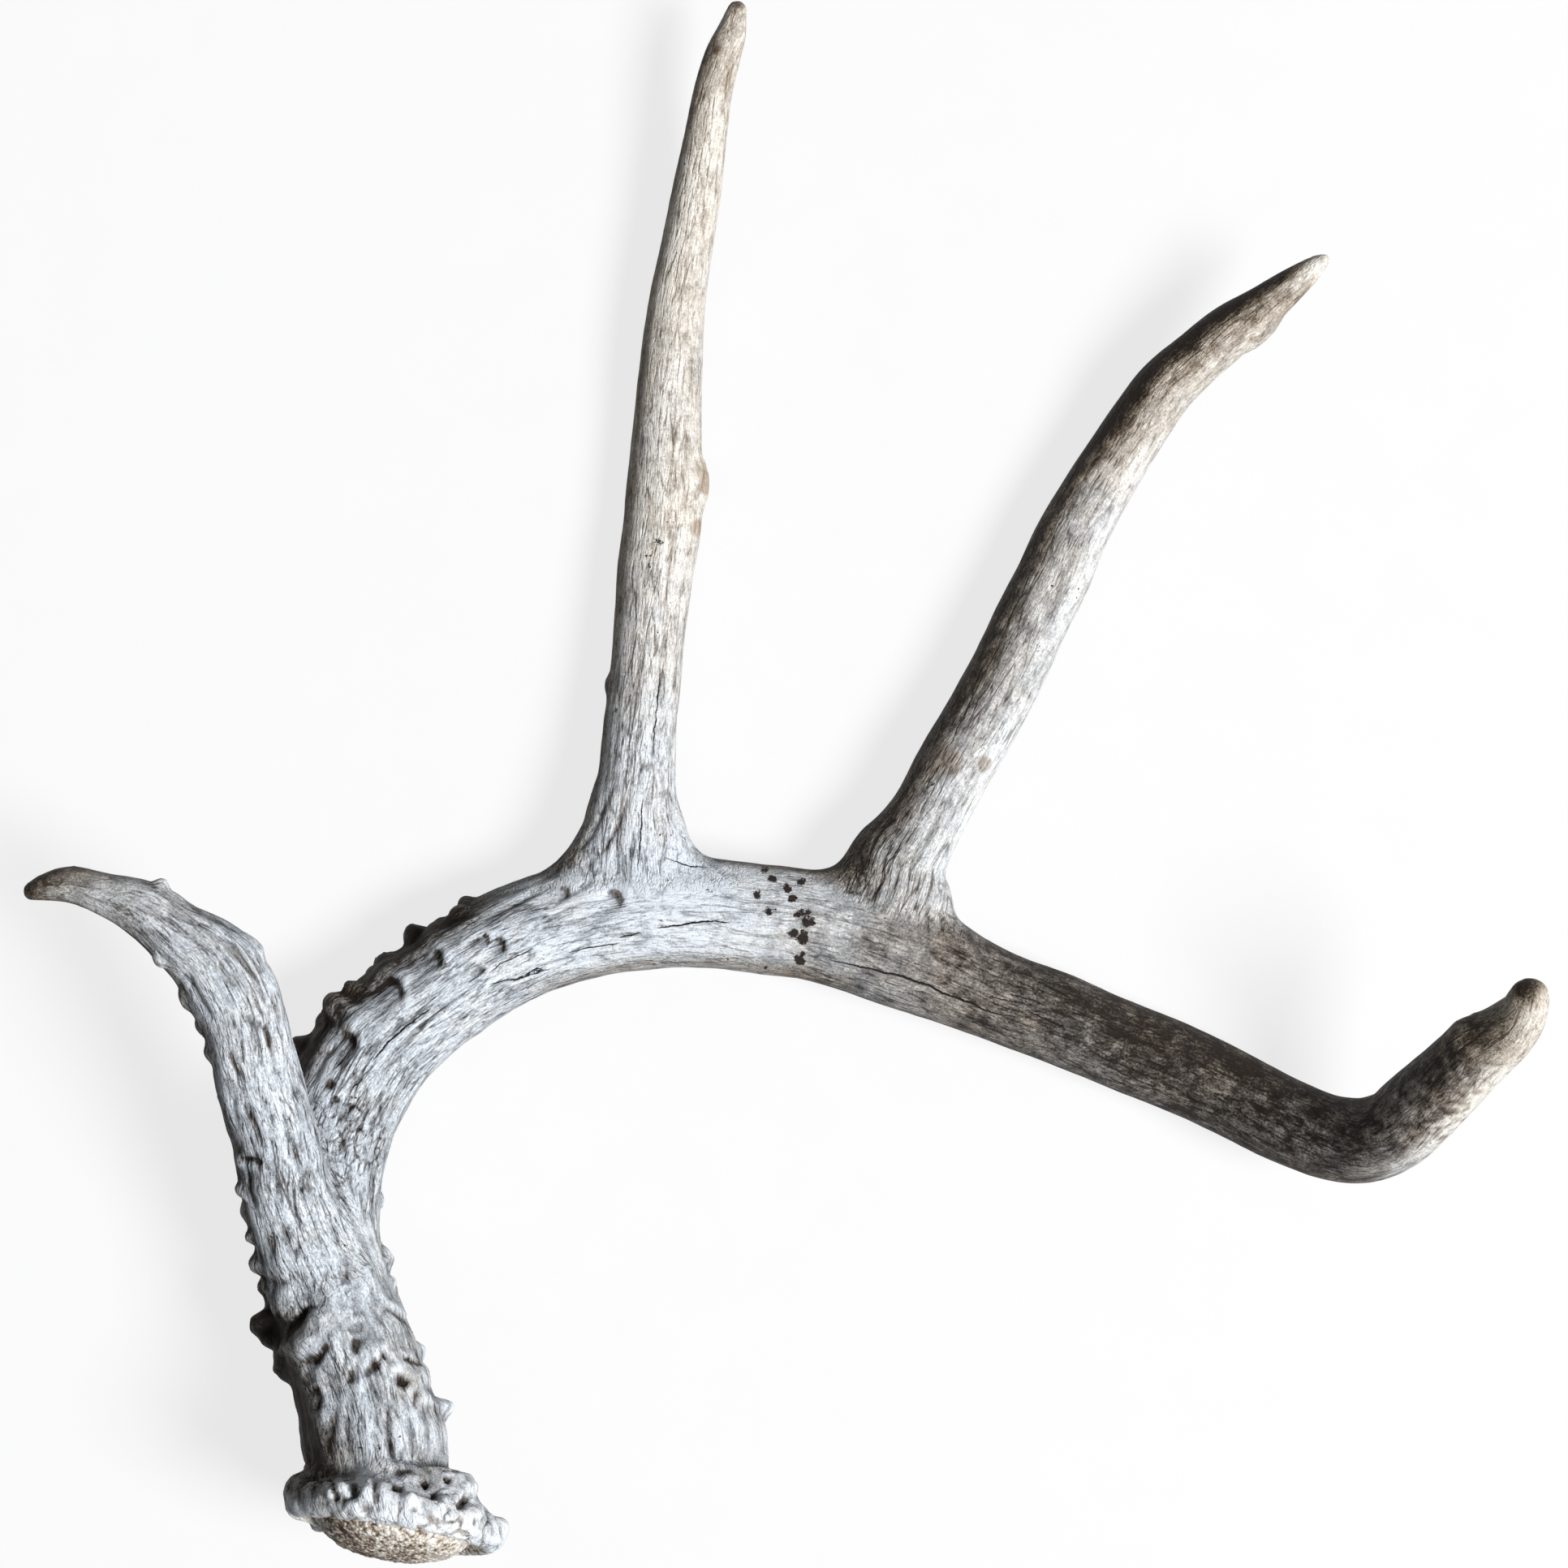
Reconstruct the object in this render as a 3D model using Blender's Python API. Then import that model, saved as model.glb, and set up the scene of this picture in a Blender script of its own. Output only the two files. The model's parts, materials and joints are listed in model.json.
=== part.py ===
"""A shed deer antler, lying on its outer side with its hollow side up.

The antler is grown as one skin round a skeleton of four branches: the main
beam with its coronet, and three tines. The skeleton is drawn in the picture
plane, in millimetres from the picture's middle (x to the right, y up), with z
as the height over the table. Each station is (x, y, z, half width, half depth).
The skin is then cut at the three forks, so that each branch is a solid.
"""

import math

import bmesh
import bpy
import numpy as np
from mathutils import Vector

MM = 0.001

# The view that the picture plane belongs to: straight down on the table.
EYE_DISTANCE = 950.0
PICTURE_HEIGHT = 20.0

# Driving sizes of the skin, in millimetres.
STATION_STEP = 2.5
RING_SIDES = 28
SKIN_CELL = 1.2
SKIN_SMOOTHING = 5
FORK_SMOOTHING = 40
FORK_MARGIN = 0.8
TRIANGLES_WANTED = 9100
FORK_GAP = 0.3
SEED = 11

BEAM = [
    (-97.2, -178.8, 41.0, 16.0, 16.0),
    (-99.6, -170.8, 38.8, 17.0, 17.0),
    (-100.8, -162.8, 36.5, 17.4, 17.6),
    (-103.6, -150.4, 32.6, 16.4, 17.0),
    (-108.0, -137.2, 28.6, 16.2, 16.6),
    (-112.2, -124.4, 24.6, 15.4, 16.2),
    (-114.2, -111.2, 21.0, 14.8, 15.8),
    (-114.0, -97.8, 17.4, 14.8, 15.2),
    (-111.4, -85.8, 14.7, 14.7, 15.0),
    (-106.2, -73.4, 14.2, 14.9, 14.8),
    (-98.4, -62.0, 14.8, 14.7, 14.4),
    (-87.2, -52.6, 15.4, 14.2, 14.0),
    (-74.8, -44.0, 15.8, 14.2, 13.6),
    (-61.2, -37.2, 16.0, 14.4, 13.0),
    (-47.2, -33.4, 16.0, 14.4, 12.6),
    (-33.2, -31.6, 15.9, 14.4, 12.4),
    (-19.2, -31.8, 15.6, 13.8, 12.2),
    (-5.2, -33.2, 15.2, 13.6, 12.0),
    (7.0, -34.8, 14.6, 13.7, 12.0),
    (18.8, -38.0, 14.0, 13.9, 12.0),
    (28.8, -41.6, 13.3, 13.9, 11.9),
    (36.6, -44.8, 12.7, 13.2, 11.6),
    (46.0, -49.4, 12.1, 11.8, 11.2),
    (55.6, -53.4, 11.5, 11.2, 10.8),
    (66.6, -57.4, 10.8, 11.2, 10.6),
    (81.2, -63.6, 9.9, 11.0, 10.4),
    (96.8, -69.8, 10.0, 10.9, 10.4),
    (110.6, -76.4, 12.4, 10.7, 10.4),
    (122.8, -82.6, 16.4, 10.6, 10.4),
    (133.6, -86.8, 21.5, 10.5, 10.4),
    (142.8, -87.8, 27.5, 10.5, 10.4),
    (150.6, -85.0, 34.5, 10.3, 10.2),
    (157.4, -79.0, 42.0, 10.0, 9.8),
    (164.0, -72.8, 49.5, 9.4, 9.4),
    (170.8, -66.4, 57.0, 8.9, 8.8),
    (177.6, -61.4, 63.5, 7.7, 7.6),
    (182.4, -56.2, 69.5, 6.0, 5.8),
    (184.2, -52.2, 73.0, 4.6, 4.5),
]

BROW_TINE = [
    (-108.6, -140.0, 26.4, 12.4, 12.6),
    (-112.6, -129.0, 27.6, 12.2, 12.6),
    (-116.8, -118.4, 29.8, 11.8, 12.4),
    (-120.4, -108.6, 32.8, 11.4, 11.8),
    (-123.2, -98.6, 36.6, 11.0, 11.2),
    (-125.4, -86.8, 41.8, 10.8, 10.6),
    (-128.6, -76.8, 46.0, 10.7, 10.4),
    (-130.6, -68.8, 49.2, 10.5, 10.2),
    (-133.0, -58.6, 52.8, 10.4, 10.2),
    (-136.0, -51.2, 55.0, 11.0, 10.2),
    (-141.8, -42.8, 56.8, 10.2, 9.6),
    (-149.4, -37.0, 57.6, 8.4, 8.6),
    (-156.2, -31.6, 57.6, 7.5, 7.8),
    (-163.6, -28.4, 57.0, 6.0, 6.4),
    (-169.6, -26.4, 56.2, 5.1, 5.4),
    (-175.2, -24.8, 55.2, 4.7, 4.8),
    (-180.8, -25.2, 54.0, 3.8, 3.9),
    (-185.2, -26.4, 53.0, 2.6, 2.6),
]

SECOND_TINE = [
    (-37.0, -26.8, 16.0, 30.0, 9.0),
    (-37.2, -21.2, 15.8, 22.5, 9.6),
    (-37.2, -16.0, 15.5, 16.2, 10.0),
    (-37.0, -10.4, 15.1, 13.0, 9.8),
    (-37.0, -5.0, 14.8, 11.2, 9.6),
    (-36.2, 2.6, 13.8, 9.7, 9.2),
    (-35.6, 13.2, 12.6, 9.2, 8.9),
    (-34.6, 23.2, 11.4, 9.0, 8.8),
    (-33.6, 33.2, 10.4, 8.9, 8.7),
    (-32.6, 43.2, 9.6, 9.1, 8.7),
    (-31.6, 53.2, 8.8, 9.5, 8.7),
    (-30.2, 62.4, 8.3, 9.7, 8.7),
    (-29.4, 73.2, 8.0, 9.5, 8.5),
    (-28.8, 87.6, 8.2, 8.5, 8.2),
    (-27.8, 103.2, 9.6, 7.9, 7.8),
    (-26.4, 118.6, 10.4, 7.1, 7.2),
    (-23.8, 133.2, 11.8, 6.5, 6.7),
    (-21.4, 146.8, 13.6, 6.1, 6.1),
    (-19.4, 159.2, 15.6, 5.4, 5.5),
    (-17.6, 170.2, 17.8, 4.9, 4.9),
    (-15.2, 179.2, 20.0, 4.6, 4.4),
    (-12.8, 185.6, 21.8, 3.8, 3.7),
    (-11.6, 190.8, 23.2, 2.6, 2.6),
]

THIRD_TINE = [
    (24.6, -30.8, 14.4, 21.0, 9.0),
    (27.0, -24.8, 14.4, 15.8, 9.4),
    (28.4, -19.0, 14.3, 12.6, 9.5),
    (31.8, -13.8, 14.1, 10.6, 9.3),
    (36.2, -6.4, 13.8, 9.5, 9.1),
    (41.6, 3.8, 13.2, 9.6, 9.0),
    (48.8, 16.0, 12.5, 9.5, 8.9),
    (55.6, 28.8, 11.8, 9.4, 8.9),
    (60.8, 40.2, 11.2, 9.2, 8.8),
    (66.2, 50.6, 10.9, 9.2, 8.7),
    (70.6, 60.8, 10.8, 8.8, 8.5),
    (76.0, 70.6, 11.0, 8.4, 8.2),
    (82.2, 80.6, 11.6, 8.0, 7.9),
    (88.4, 90.0, 12.8, 7.8, 7.6),
    (94.2, 98.0, 14.6, 7.5, 7.3),
    (101.4, 104.6, 17.2, 7.0, 6.9),
    (109.8, 111.6, 20.5, 6.7, 6.5),
    (118.0, 117.6, 24.0, 5.4, 5.4),
    (125.2, 123.2, 27.4, 4.2, 4.2),
    (130.6, 127.4, 29.8, 2.9, 2.9),
    (132.9, 129.2, 31.0, 1.9, 1.9),
]

# The coronet: where its lower face is centred, how it is turned, and its
# profile from the middle of the seal outwards, as (distance up its axis, radius).
CORONET_CENTRE = (-97.0, -186.4, 44.0)
CORONET_TIP_UP = math.radians(18)
CORONET_TURN = math.radians(-9)
CORONET_PROFILE = [
    (-4.6, 3.0),
    (-4.0, 8.0),
    (-2.6, 13.0),
    (-0.6, 16.6),
    (2.4, 18.6),
    (3.2, 20.0),
    (1.4, 21.6),
    (0.6, 23.8),
    (2.4, 25.6),
    (5.2, 26.2),
    (8.0, 24.6),
    (10.0, 21.8),
    (13.0, 18.6),
    (17.0, 17.2),
]

# Knobs and hollows seen from above, as (branch, x, y, radius, height); a
# hollow has a height under zero. One past a branch's edge sits on its rim.
KNOBS = [
    ("beam", -129.0, -133.6, 5.0, 4.2),
    ("beam", -130.0, -119.0, 3.6, 2.8),
    ("beam", -131.0, -111.6, 2.6, 1.8),
    ("beam", -126.0, -137.0, 3.4, 1.6),
    ("beam", -123.0, -144.6, 3.6, 1.8),
    ("beam", -83.0, -153.4, 3.6, 3.6),
    ("beam", -92.6, -133.6, 3.6, 1.2),
    ("beam", -115.6, -134.4, 4.2, 1.6),
    ("beam", -108.6, -141.0, 4.4, 1.7),
    ("beam", -123.8, -127.6, 3.4, 1.4),
    ("beam", -102.6, -140.2, 3.4, 1.4),
    ("beam", -95.6, -144.4, 3.6, 1.4),
    ("beam", -112.0, -150.4, 3.4, 1.2),
    ("beam", -100.0, -155.0, 3.4, 1.1),
    ("beam", -118.6, -132.4, 2.6, -1.3),
    ("beam", -113.8, -138.8, 2.8, -1.4),
    ("beam", -104.4, -147.0, 2.6, -1.2),
    ("beam", -111.6, -133.6, 2.2, -1.0),
    ("beam", -119.2, -63.8, 3.6, 3.0),
    ("beam", -109.4, -55.2, 5.4, 3.8),
    ("beam", -105.8, -50.2, 4.2, 2.2),
    ("beam", -90.6, -36.6, 4.6, 3.0),
    ("beam", -78.2, -29.4, 3.2, 2.0),
    ("beam", -84.0, -40.4, 3.0, 0.9),
    ("beam", -73.0, -36.4, 3.0, 0.8),
    ("beam", -49.6, -33.4, 5.0, -1.1),
    ("beam", 174.4, -57.0, 4.4, -2.6),
    ("beam", 143.0, -78.0, 5.0, -0.8),
    ("brow_tine", -133.4, -99.8, 3.0, 1.6),
    ("brow_tine", -134.0, -93.0, 2.6, 1.0),
    ("brow_tine", -142.4, -66.2, 3.2, 1.2),
    ("brow_tine", -148.0, -54.2, 3.8, 1.6),
    ("brow_tine", -145.4, -60.6, 2.8, 1.2),
    ("brow_tine", -153.8, -43.4, 3.0, 1.4),
    ("brow_tine", -153.2, -25.2, 3.0, 1.8),
    ("brow_tine", -130.4, -39.4, 6.0, 1.4),
    ("second_tine", -18.8, 73.6, 8.0, 1.5),
    ("second_tine", -43.4, 24.4, 3.6, 0.9),
    ("second_tine", -10.0, 191.0, 2.4, 0.6),
    ("third_tine", 117.6, 109.0, 5.0, 1.8),
    ("third_tine", 48.8, 4.2, 3.0, 0.5),
]

# Fields of small pearls and pits on rough bark, as (branch, from and to along
# it, from and to round it in degrees, count, largest radius, largest height).
# Round a branch, 0 faces up and 90 is to the right of the way it grows.
PEARL_FIELDS = [
    ("beam", 32.0, 84.0, 100.0, 290.0, 42, 4.4, 2.2),
    ("beam", 14.0, 72.0, -75.0, 100.0, 46, 4.8, 2.4),
    ("beam", 84.0, 165.0, 200.0, 290.0, 26, 4.0, 2.2),
    ("brow_tine", 12.0, 70.0, 190.0, 290.0, 16, 3.4, 1.6),
]
PIT_SHARE = 0.25
RIM_KNOBS = 19
RIM_ROWS = [(2.2, 0.0), (7.0, 0.55)]
RIM_WEAR = (-24.0, -6.0, 9.0, 4.0)

# Broad flutes run up the lower beam and die out past the second tine.
FLUTES = 9
FLUTE_DEPTH = 0.35
FLUTE_REACH = 230.0

# Each tine is cut off square to itself here, just past its fork.
CUTS = {
    "brow_tine": (-125.2, -84.0),
    "second_tine": (-36.8, -4.0),
    "third_tine": (33.2, -11.6),
}

LOOKS = {
    "main_beam": ((0.50, 0.48, 0.45), 0.78),
    "brow_tine": ((0.52, 0.50, 0.47), 0.76),
    "second_tine": ((0.60, 0.55, 0.48), 0.68),
    "third_tine": ((0.56, 0.52, 0.46), 0.66),
}


class Branch:
    """One branch's centre line in space, sampled evenly, with its section."""

    def __init__(self, stations):
        table = np.array(stations, float)
        nearer = 1 - (table[:, 2:3] - PICTURE_HEIGHT) / EYE_DISTANCE
        table[:, [0, 1, 3, 4]] *= nearer
        fine = smooth_line(table)
        gaps = np.linalg.norm(np.diff(fine[:, :3], axis=0), axis=1)
        walk = np.concatenate([[0], np.cumsum(gaps)])
        count = int(walk[-1] / STATION_STEP) + 1
        self.along = np.linspace(0, walk[-1], count)
        even = np.stack([np.interp(self.along, walk, col) for col in fine.T], axis=1)
        self.centre = even[:, :3]
        self.half = even[:, 3:]
        self.tangent = unit(np.gradient(self.centre, axis=0))
        up = np.array([0, 0, 1.0]) - self.tangent * self.tangent[:, 2:3]
        self.up = unit(up)
        self.right = np.cross(self.tangent, self.up)

    def surface(self, i, angle):
        """The point of the plain skin at sample i, and the way out of it."""
        out = self.right[i] * math.sin(angle) + self.up[i] * math.cos(angle)
        across = self.right[i] * self.half[i, 0] * math.sin(angle)
        return self.centre[i] + across + self.up[i] * self.half[i, 1] * math.cos(angle), out

    def seen_at(self, x, y):
        """The sample nearest to a picture point, and the angle seen there."""
        nearer = 1 - (self.centre[:, 2:3] - PICTURE_HEIGHT) / EYE_DISTANCE
        flat = self.centre[:, :2] / nearer
        offset = np.array([x, y]) - flat
        i = int(np.argmin(np.linalg.norm(offset, axis=1)))
        side = unit(self.right[i : i + 1, :2])[0]
        reach = float(offset[i] @ side) / (self.half[i, 0] / nearer[i, 0])
        return i, math.asin(max(-1.0, min(1.0, reach)))


def unit(rows):
    return rows / np.linalg.norm(rows, axis=1, keepdims=True)


def smooth_line(points, steps=10):
    """A Catmull-Rom line through the points."""
    ends = np.vstack([2 * points[0] - points[1], points, 2 * points[-1] - points[-2]])
    line = []
    for a, b, c, d in zip(ends, ends[1:], ends[2:], ends[3:]):
        for t in np.linspace(0, 1, steps, endpoint=False):
            line.append(
                0.5 * (2 * b + (c - a) * t + (2 * a - 5 * b + 4 * c - d) * t**2)
                + 0.5 * (3 * b - a - 3 * c + d) * t**3
            )
    return np.array(line + [points[-1]])


def ring_points(centre, right, up, half):
    turns = np.linspace(0, 2 * math.pi, RING_SIDES, endpoint=False)
    across = np.outer(np.sin(turns) * half[0], right)
    return centre + across + np.outer(np.cos(turns) * half[1], up)


def add_tube(bm, rings):
    """A closed tube through rings of points, with a flat end each side."""
    loops = [[bm.verts.new(point) for point in ring] for ring in rings]
    for low, high in zip(loops, loops[1:]):
        for i in range(RING_SIDES):
            j = (i + 1) % RING_SIDES
            bm.faces.new((low[i], low[j], high[j], high[i]))
    bm.faces.new(loops[0])
    bm.faces.new(loops[-1])


def branch_rings(branch):
    """Rings along a branch, then smaller ones that round off its tip."""
    rings = []
    for i in range(len(branch.along)):
        rings.append(
            ring_points(branch.centre[i], branch.right[i], branch.up[i], branch.half[i])
        )
    tip, half = branch.centre[-1], branch.half[-1]
    for turn in (30, 55, 75):
        out = tip + branch.tangent[-1] * half.mean() * math.sin(math.radians(turn))
        small = half * math.cos(math.radians(turn))
        rings.append(ring_points(out, branch.right[-1], branch.up[-1], small))
    return rings


def coronet_axes():
    """The coronet's centre, and its directions: up its axis, right and front."""
    tip, turn = CORONET_TIP_UP, CORONET_TURN
    axis = np.array([-math.sin(turn) * math.cos(tip), math.cos(turn) * math.cos(tip), -math.sin(tip)])
    right = unit(np.array([[axis[1], -axis[0], 0.0]]))[0]
    centre = np.array(CORONET_CENTRE)
    nearer = 1 - (centre[2] - PICTURE_HEIGHT) / EYE_DISTANCE
    return centre * (nearer, nearer, 1), axis, right, np.cross(right, axis)


def coronet_rings():
    centre, axis, right, front = coronet_axes()
    rings = []
    for up, radius in CORONET_PROFILE:
        rings.append(ring_points(centre + axis * up, right, front, (radius, radius)))
    return rings


def plain_skin(branches):
    """All branches and the coronet as one closed skin with soft forks."""
    bm = bmesh.new()
    for branch in branches.values():
        add_tube(bm, branch_rings(branch))
    add_tube(bm, coronet_rings())
    bmesh.ops.recalc_face_normals(bm, faces=bm.faces)
    mesh = bpy.data.meshes.new("skin")
    bm.to_mesh(mesh)
    bm.free()
    skin = bpy.data.objects.new("skin", mesh)
    bpy.context.collection.objects.link(skin)
    remesh = skin.modifiers.new("grow_together", "REMESH")
    remesh.mode = "VOXEL"
    remesh.voxel_size = SKIN_CELL
    smooth = skin.modifiers.new("soften", "SMOOTH")
    smooth.iterations = SKIN_SMOOTHING
    apply_modifiers(skin)
    soften_forks(skin, branches)
    return skin


def soften_forks(skin, branches):
    """Smooths the skin further where two branches meet, into soft webs."""
    *_, margin = nearest_branch(coordinates(skin.data), branches)
    weights = np.clip(1 - margin / FORK_MARGIN, 0, 1)
    forks = skin.vertex_groups.new(name="forks")
    for index in np.flatnonzero(weights):
        forks.add([int(index)], weights[index], "REPLACE")
    web = skin.modifiers.new("web", "SMOOTH")
    web.iterations = FORK_SMOOTHING
    web.vertex_group = forks.name
    apply_modifiers(skin)


def apply_modifiers(obj):
    graph = bpy.context.evaluated_depsgraph_get()
    mesh = bpy.data.meshes.new_from_object(obj.evaluated_get(graph))
    obj.modifiers.clear()
    obj.data = mesh


def coordinates(mesh):
    points = np.empty(len(mesh.vertices) * 3)
    mesh.vertices.foreach_get("co", points)
    return points.reshape(-1, 3)


def nearest_branch(points, branches):
    """For each point: its branch, the sample nearest there, and how much further
    off the next branch is. Reach is counted in half widths of each branch."""
    reach = np.full((len(branches), len(points)), np.inf)
    sample = np.zeros((len(branches), len(points)), int)
    for number, branch in enumerate(branches.values()):
        for i, centre in enumerate(branch.centre):
            far = np.linalg.norm(points - centre, axis=1) / branch.half[i].mean()
            closer = far < reach[number]
            reach[number][closer] = far[closer]
            sample[number][closer] = i
    owner = reach.argmin(axis=0)
    first, second = np.sort(reach, axis=0)[:2]
    return owner, sample[owner, np.arange(len(points))], second - first


def pearls(branches, dice):
    """All knobs and hollows as (place, way out, radius, height)."""
    made = []
    for name, x, y, radius, height in KNOBS:
        branch = branches[name]
        i, angle = branch.seen_at(x, y)
        made.append((*branch.surface(i, angle), radius, height))
    for name, low, high, turn_from, turn_to, count, radius, height in PEARL_FIELDS:
        branch = branches[name]
        for _ in range(count):
            i = int(np.argmin(abs(branch.along - dice.uniform(low, high))))
            angle = math.radians(dice.uniform(turn_from, turn_to))
            size = dice.uniform(0.6, 1.0)
            rise = dice.uniform(0.5, 1.0) * height
            if dice.uniform() < PIT_SHARE:
                rise *= -0.5
            made.append((*branch.surface(i, angle), radius * size, rise * size))
    return made + rim_pearls(dice)


def rim_pearls(dice):
    """The knobs round the coronet's rim, and its worn lower left side."""
    centre, axis, right, front = coronet_axes()
    rim = max(radius for _, radius in CORONET_PROFILE)
    made = []
    for row, lean in RIM_ROWS:
        for number in range(RIM_KNOBS):
            angle = 2 * math.pi * (number + dice.uniform(-0.3, 0.3)) / RIM_KNOBS
            out = right * math.cos(angle) + front * math.sin(angle)
            place = centre + out * (rim - 2.5 * lean) + axis * (row + dice.uniform(-0.8, 0.8))
            way = unit((out + axis * lean)[None])[0]
            made.append((place, way, dice.uniform(2.8, 4.2), dice.uniform(0.6, 2.6)))
    across, forward, radius, depth = RIM_WEAR
    out = unit((right * across + front * forward)[None])[0]
    made.append((centre + right * across + front * forward, out, radius, -depth))
    return made


def shape_bark(skin, branches):
    """Raises the flutes, knobs and pearls of the bark, and sinks its hollows."""
    mesh = skin.data
    points = coordinates(mesh)
    owner, sample, _ = nearest_branch(points, branches)
    beam = branches["beam"]
    on_beam = np.flatnonzero(owner == 0)
    near = sample[on_beam]
    out = points[on_beam] - beam.centre[near]
    angle = np.arctan2((out * beam.right[near]).sum(1), (out * beam.up[near]).sum(1))
    along = beam.along[near]
    fade = np.clip((FLUTE_REACH - along) / FLUTE_REACH, 0, 1)
    wave = np.sin(angle * FLUTES + 0.03 * along) * FLUTE_DEPTH * fade
    points[on_beam] += unit(out) * wave[:, None]
    dice = np.random.default_rng(SEED)
    for place, way, radius, height in pearls(branches, dice):
        far = np.linalg.norm(points - place, axis=1) / radius
        points += np.outer(height * np.exp(-2.2 * far**2), way)
    mesh.vertices.foreach_set("co", points.ravel())
    mesh.update()


def thin_out(skin):
    """Leaves only as many triangles as the shape needs."""
    mesh = skin.data
    mesh.calc_loop_triangles()
    thin = skin.modifiers.new("thin", "DECIMATE")
    thin.ratio = TRIANGLES_WANTED / len(mesh.loop_triangles)
    apply_modifiers(skin)


def fill_open_loops(bm):
    rims = [edge for edge in bm.edges if edge.is_boundary]
    bmesh.ops.holes_fill(bm, edges=rims, sides=0)
    bmesh.ops.triangulate(bm, faces=[face for face in bm.faces if len(face.verts) > 3])


def rest_on_table(bm):
    """Cuts the lowest spots flat, where the antler rests at z = 0."""
    everything = bm.verts[:] + bm.edges[:] + bm.faces[:]
    bmesh.ops.bisect_plane(
        bm, geom=everything, plane_co=(0, 0, 0), plane_no=(0, 0, -1), clear_outer=True
    )
    fill_open_loops(bm)


def flood(face):
    """All faces that hang together with this one."""
    found, waiting = {face}, [face]
    while waiting:
        for edge in waiting.pop().edges:
            for other in edge.link_faces:
                if other not in found:
                    found.add(other)
                    waiting.append(other)
    return found


def cut_off(bm, branch, spot):
    """Parts a tine from the skin at its fork, and returns it as its own bmesh."""
    i, _ = branch.seen_at(*spot)
    middle, way = Vector(branch.centre[i]), Vector(branch.tangent[i])
    reach = 1.7 * branch.half[i].max()
    close = [f for f in bm.faces if (f.calc_center_median() - middle).length < reach]
    pieces = {part for face in close for part in (face, *face.edges, *face.verts)}
    cut = bmesh.ops.bisect_plane(
        bm, geom=list(pieces), dist=0.001, plane_co=middle, plane_no=way
    )
    seam = [part for part in cut["geom_cut"] if isinstance(part, bmesh.types.BMEdge)]
    bmesh.ops.split_edges(bm, edges=seam)
    tip = Vector(branch.centre[-1])
    nearest = min(bm.faces, key=lambda f: (f.calc_center_median() - tip).length)
    mine = flood(nearest)
    for side in (mine, set(bm.faces) - mine):
        rim = {v for f in side for v in f.verts if v.is_boundary}
        push = way * (FORK_GAP / 2) * (1 if side is mine else -1)
        for vert in rim:
            vert.co += push
    tine = bm.copy()
    tine.faces.ensure_lookup_table()
    bm.faces.ensure_lookup_table()
    kept = {face.index for face in mine}
    bmesh.ops.delete(tine, geom=[f for f in tine.faces if f.index not in kept], context="FACES")
    bmesh.ops.delete(bm, geom=list(mine), context="FACES")
    fill_open_loops(tine)
    fill_open_loops(bm)
    return tine


def bone_material(name):
    colour, roughness = LOOKS[name]
    material = bpy.data.materials.new(name + "_bone")
    material.use_nodes = True
    shader = material.node_tree.nodes["Principled BSDF"]
    shader.inputs["Base Color"].default_value = (*colour, 1)
    shader.inputs["Roughness"].default_value = roughness
    shader.inputs["Metallic"].default_value = 0
    return material


def finish_solid(bm, name, shift):
    """Writes a solid, in metres, as its own named object."""
    bmesh.ops.translate(bm, vec=shift, verts=bm.verts)
    bmesh.ops.scale(bm, vec=(MM, MM, MM), verts=bm.verts)
    bmesh.ops.recalc_face_normals(bm, faces=bm.faces)
    mesh = bpy.data.meshes.new(name)
    bm.to_mesh(mesh)
    bm.free()
    mesh.shade_smooth()
    mesh.set_sharp_from_angle(angle=math.radians(50))
    mesh.materials.append(bone_material(name))
    obj = bpy.data.objects.new(name, mesh)
    bpy.context.collection.objects.link(obj)


def build():
    for obj in list(bpy.data.objects):
        bpy.data.objects.remove(obj)
    branches = {
        "beam": Branch(BEAM),
        "brow_tine": Branch(BROW_TINE),
        "second_tine": Branch(SECOND_TINE),
        "third_tine": Branch(THIRD_TINE),
    }
    skin = plain_skin(branches)
    shape_bark(skin, branches)
    thin_out(skin)
    bm = bmesh.new()
    bm.from_mesh(skin.data)
    bpy.data.objects.remove(skin)
    bmesh.ops.triangulate(bm, faces=bm.faces)
    rest_on_table(bm)
    ends = np.array([vert.co for vert in bm.verts])
    middle = (ends.min(axis=0) + ends.max(axis=0)) / 2
    shift = Vector((-middle[0], -middle[1], 0))
    tines = {name: cut_off(bm, branches[name], spot) for name, spot in CUTS.items()}
    finish_solid(bm, "main_beam", shift)
    for name, tine in tines.items():
        finish_solid(tine, name, shift)
    return shift * MM


FRAME_SHIFT = build()
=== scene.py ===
# %% [markdown]
# # A shed deer antler on a table
#
# An antler is solid bone that grew under a furry skin. Blood vessels of that skin
# left long grooves in it, and the base, which grew last, is covered in small
# knobs called pearls. This lesson grows the whole antler as one skin, raises its
# bark, cuts it at its three forks and paints it with procedural bone.
#
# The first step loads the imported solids. They fix the size and the place.

# %% The solids that give size and place
import json
import math

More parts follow.
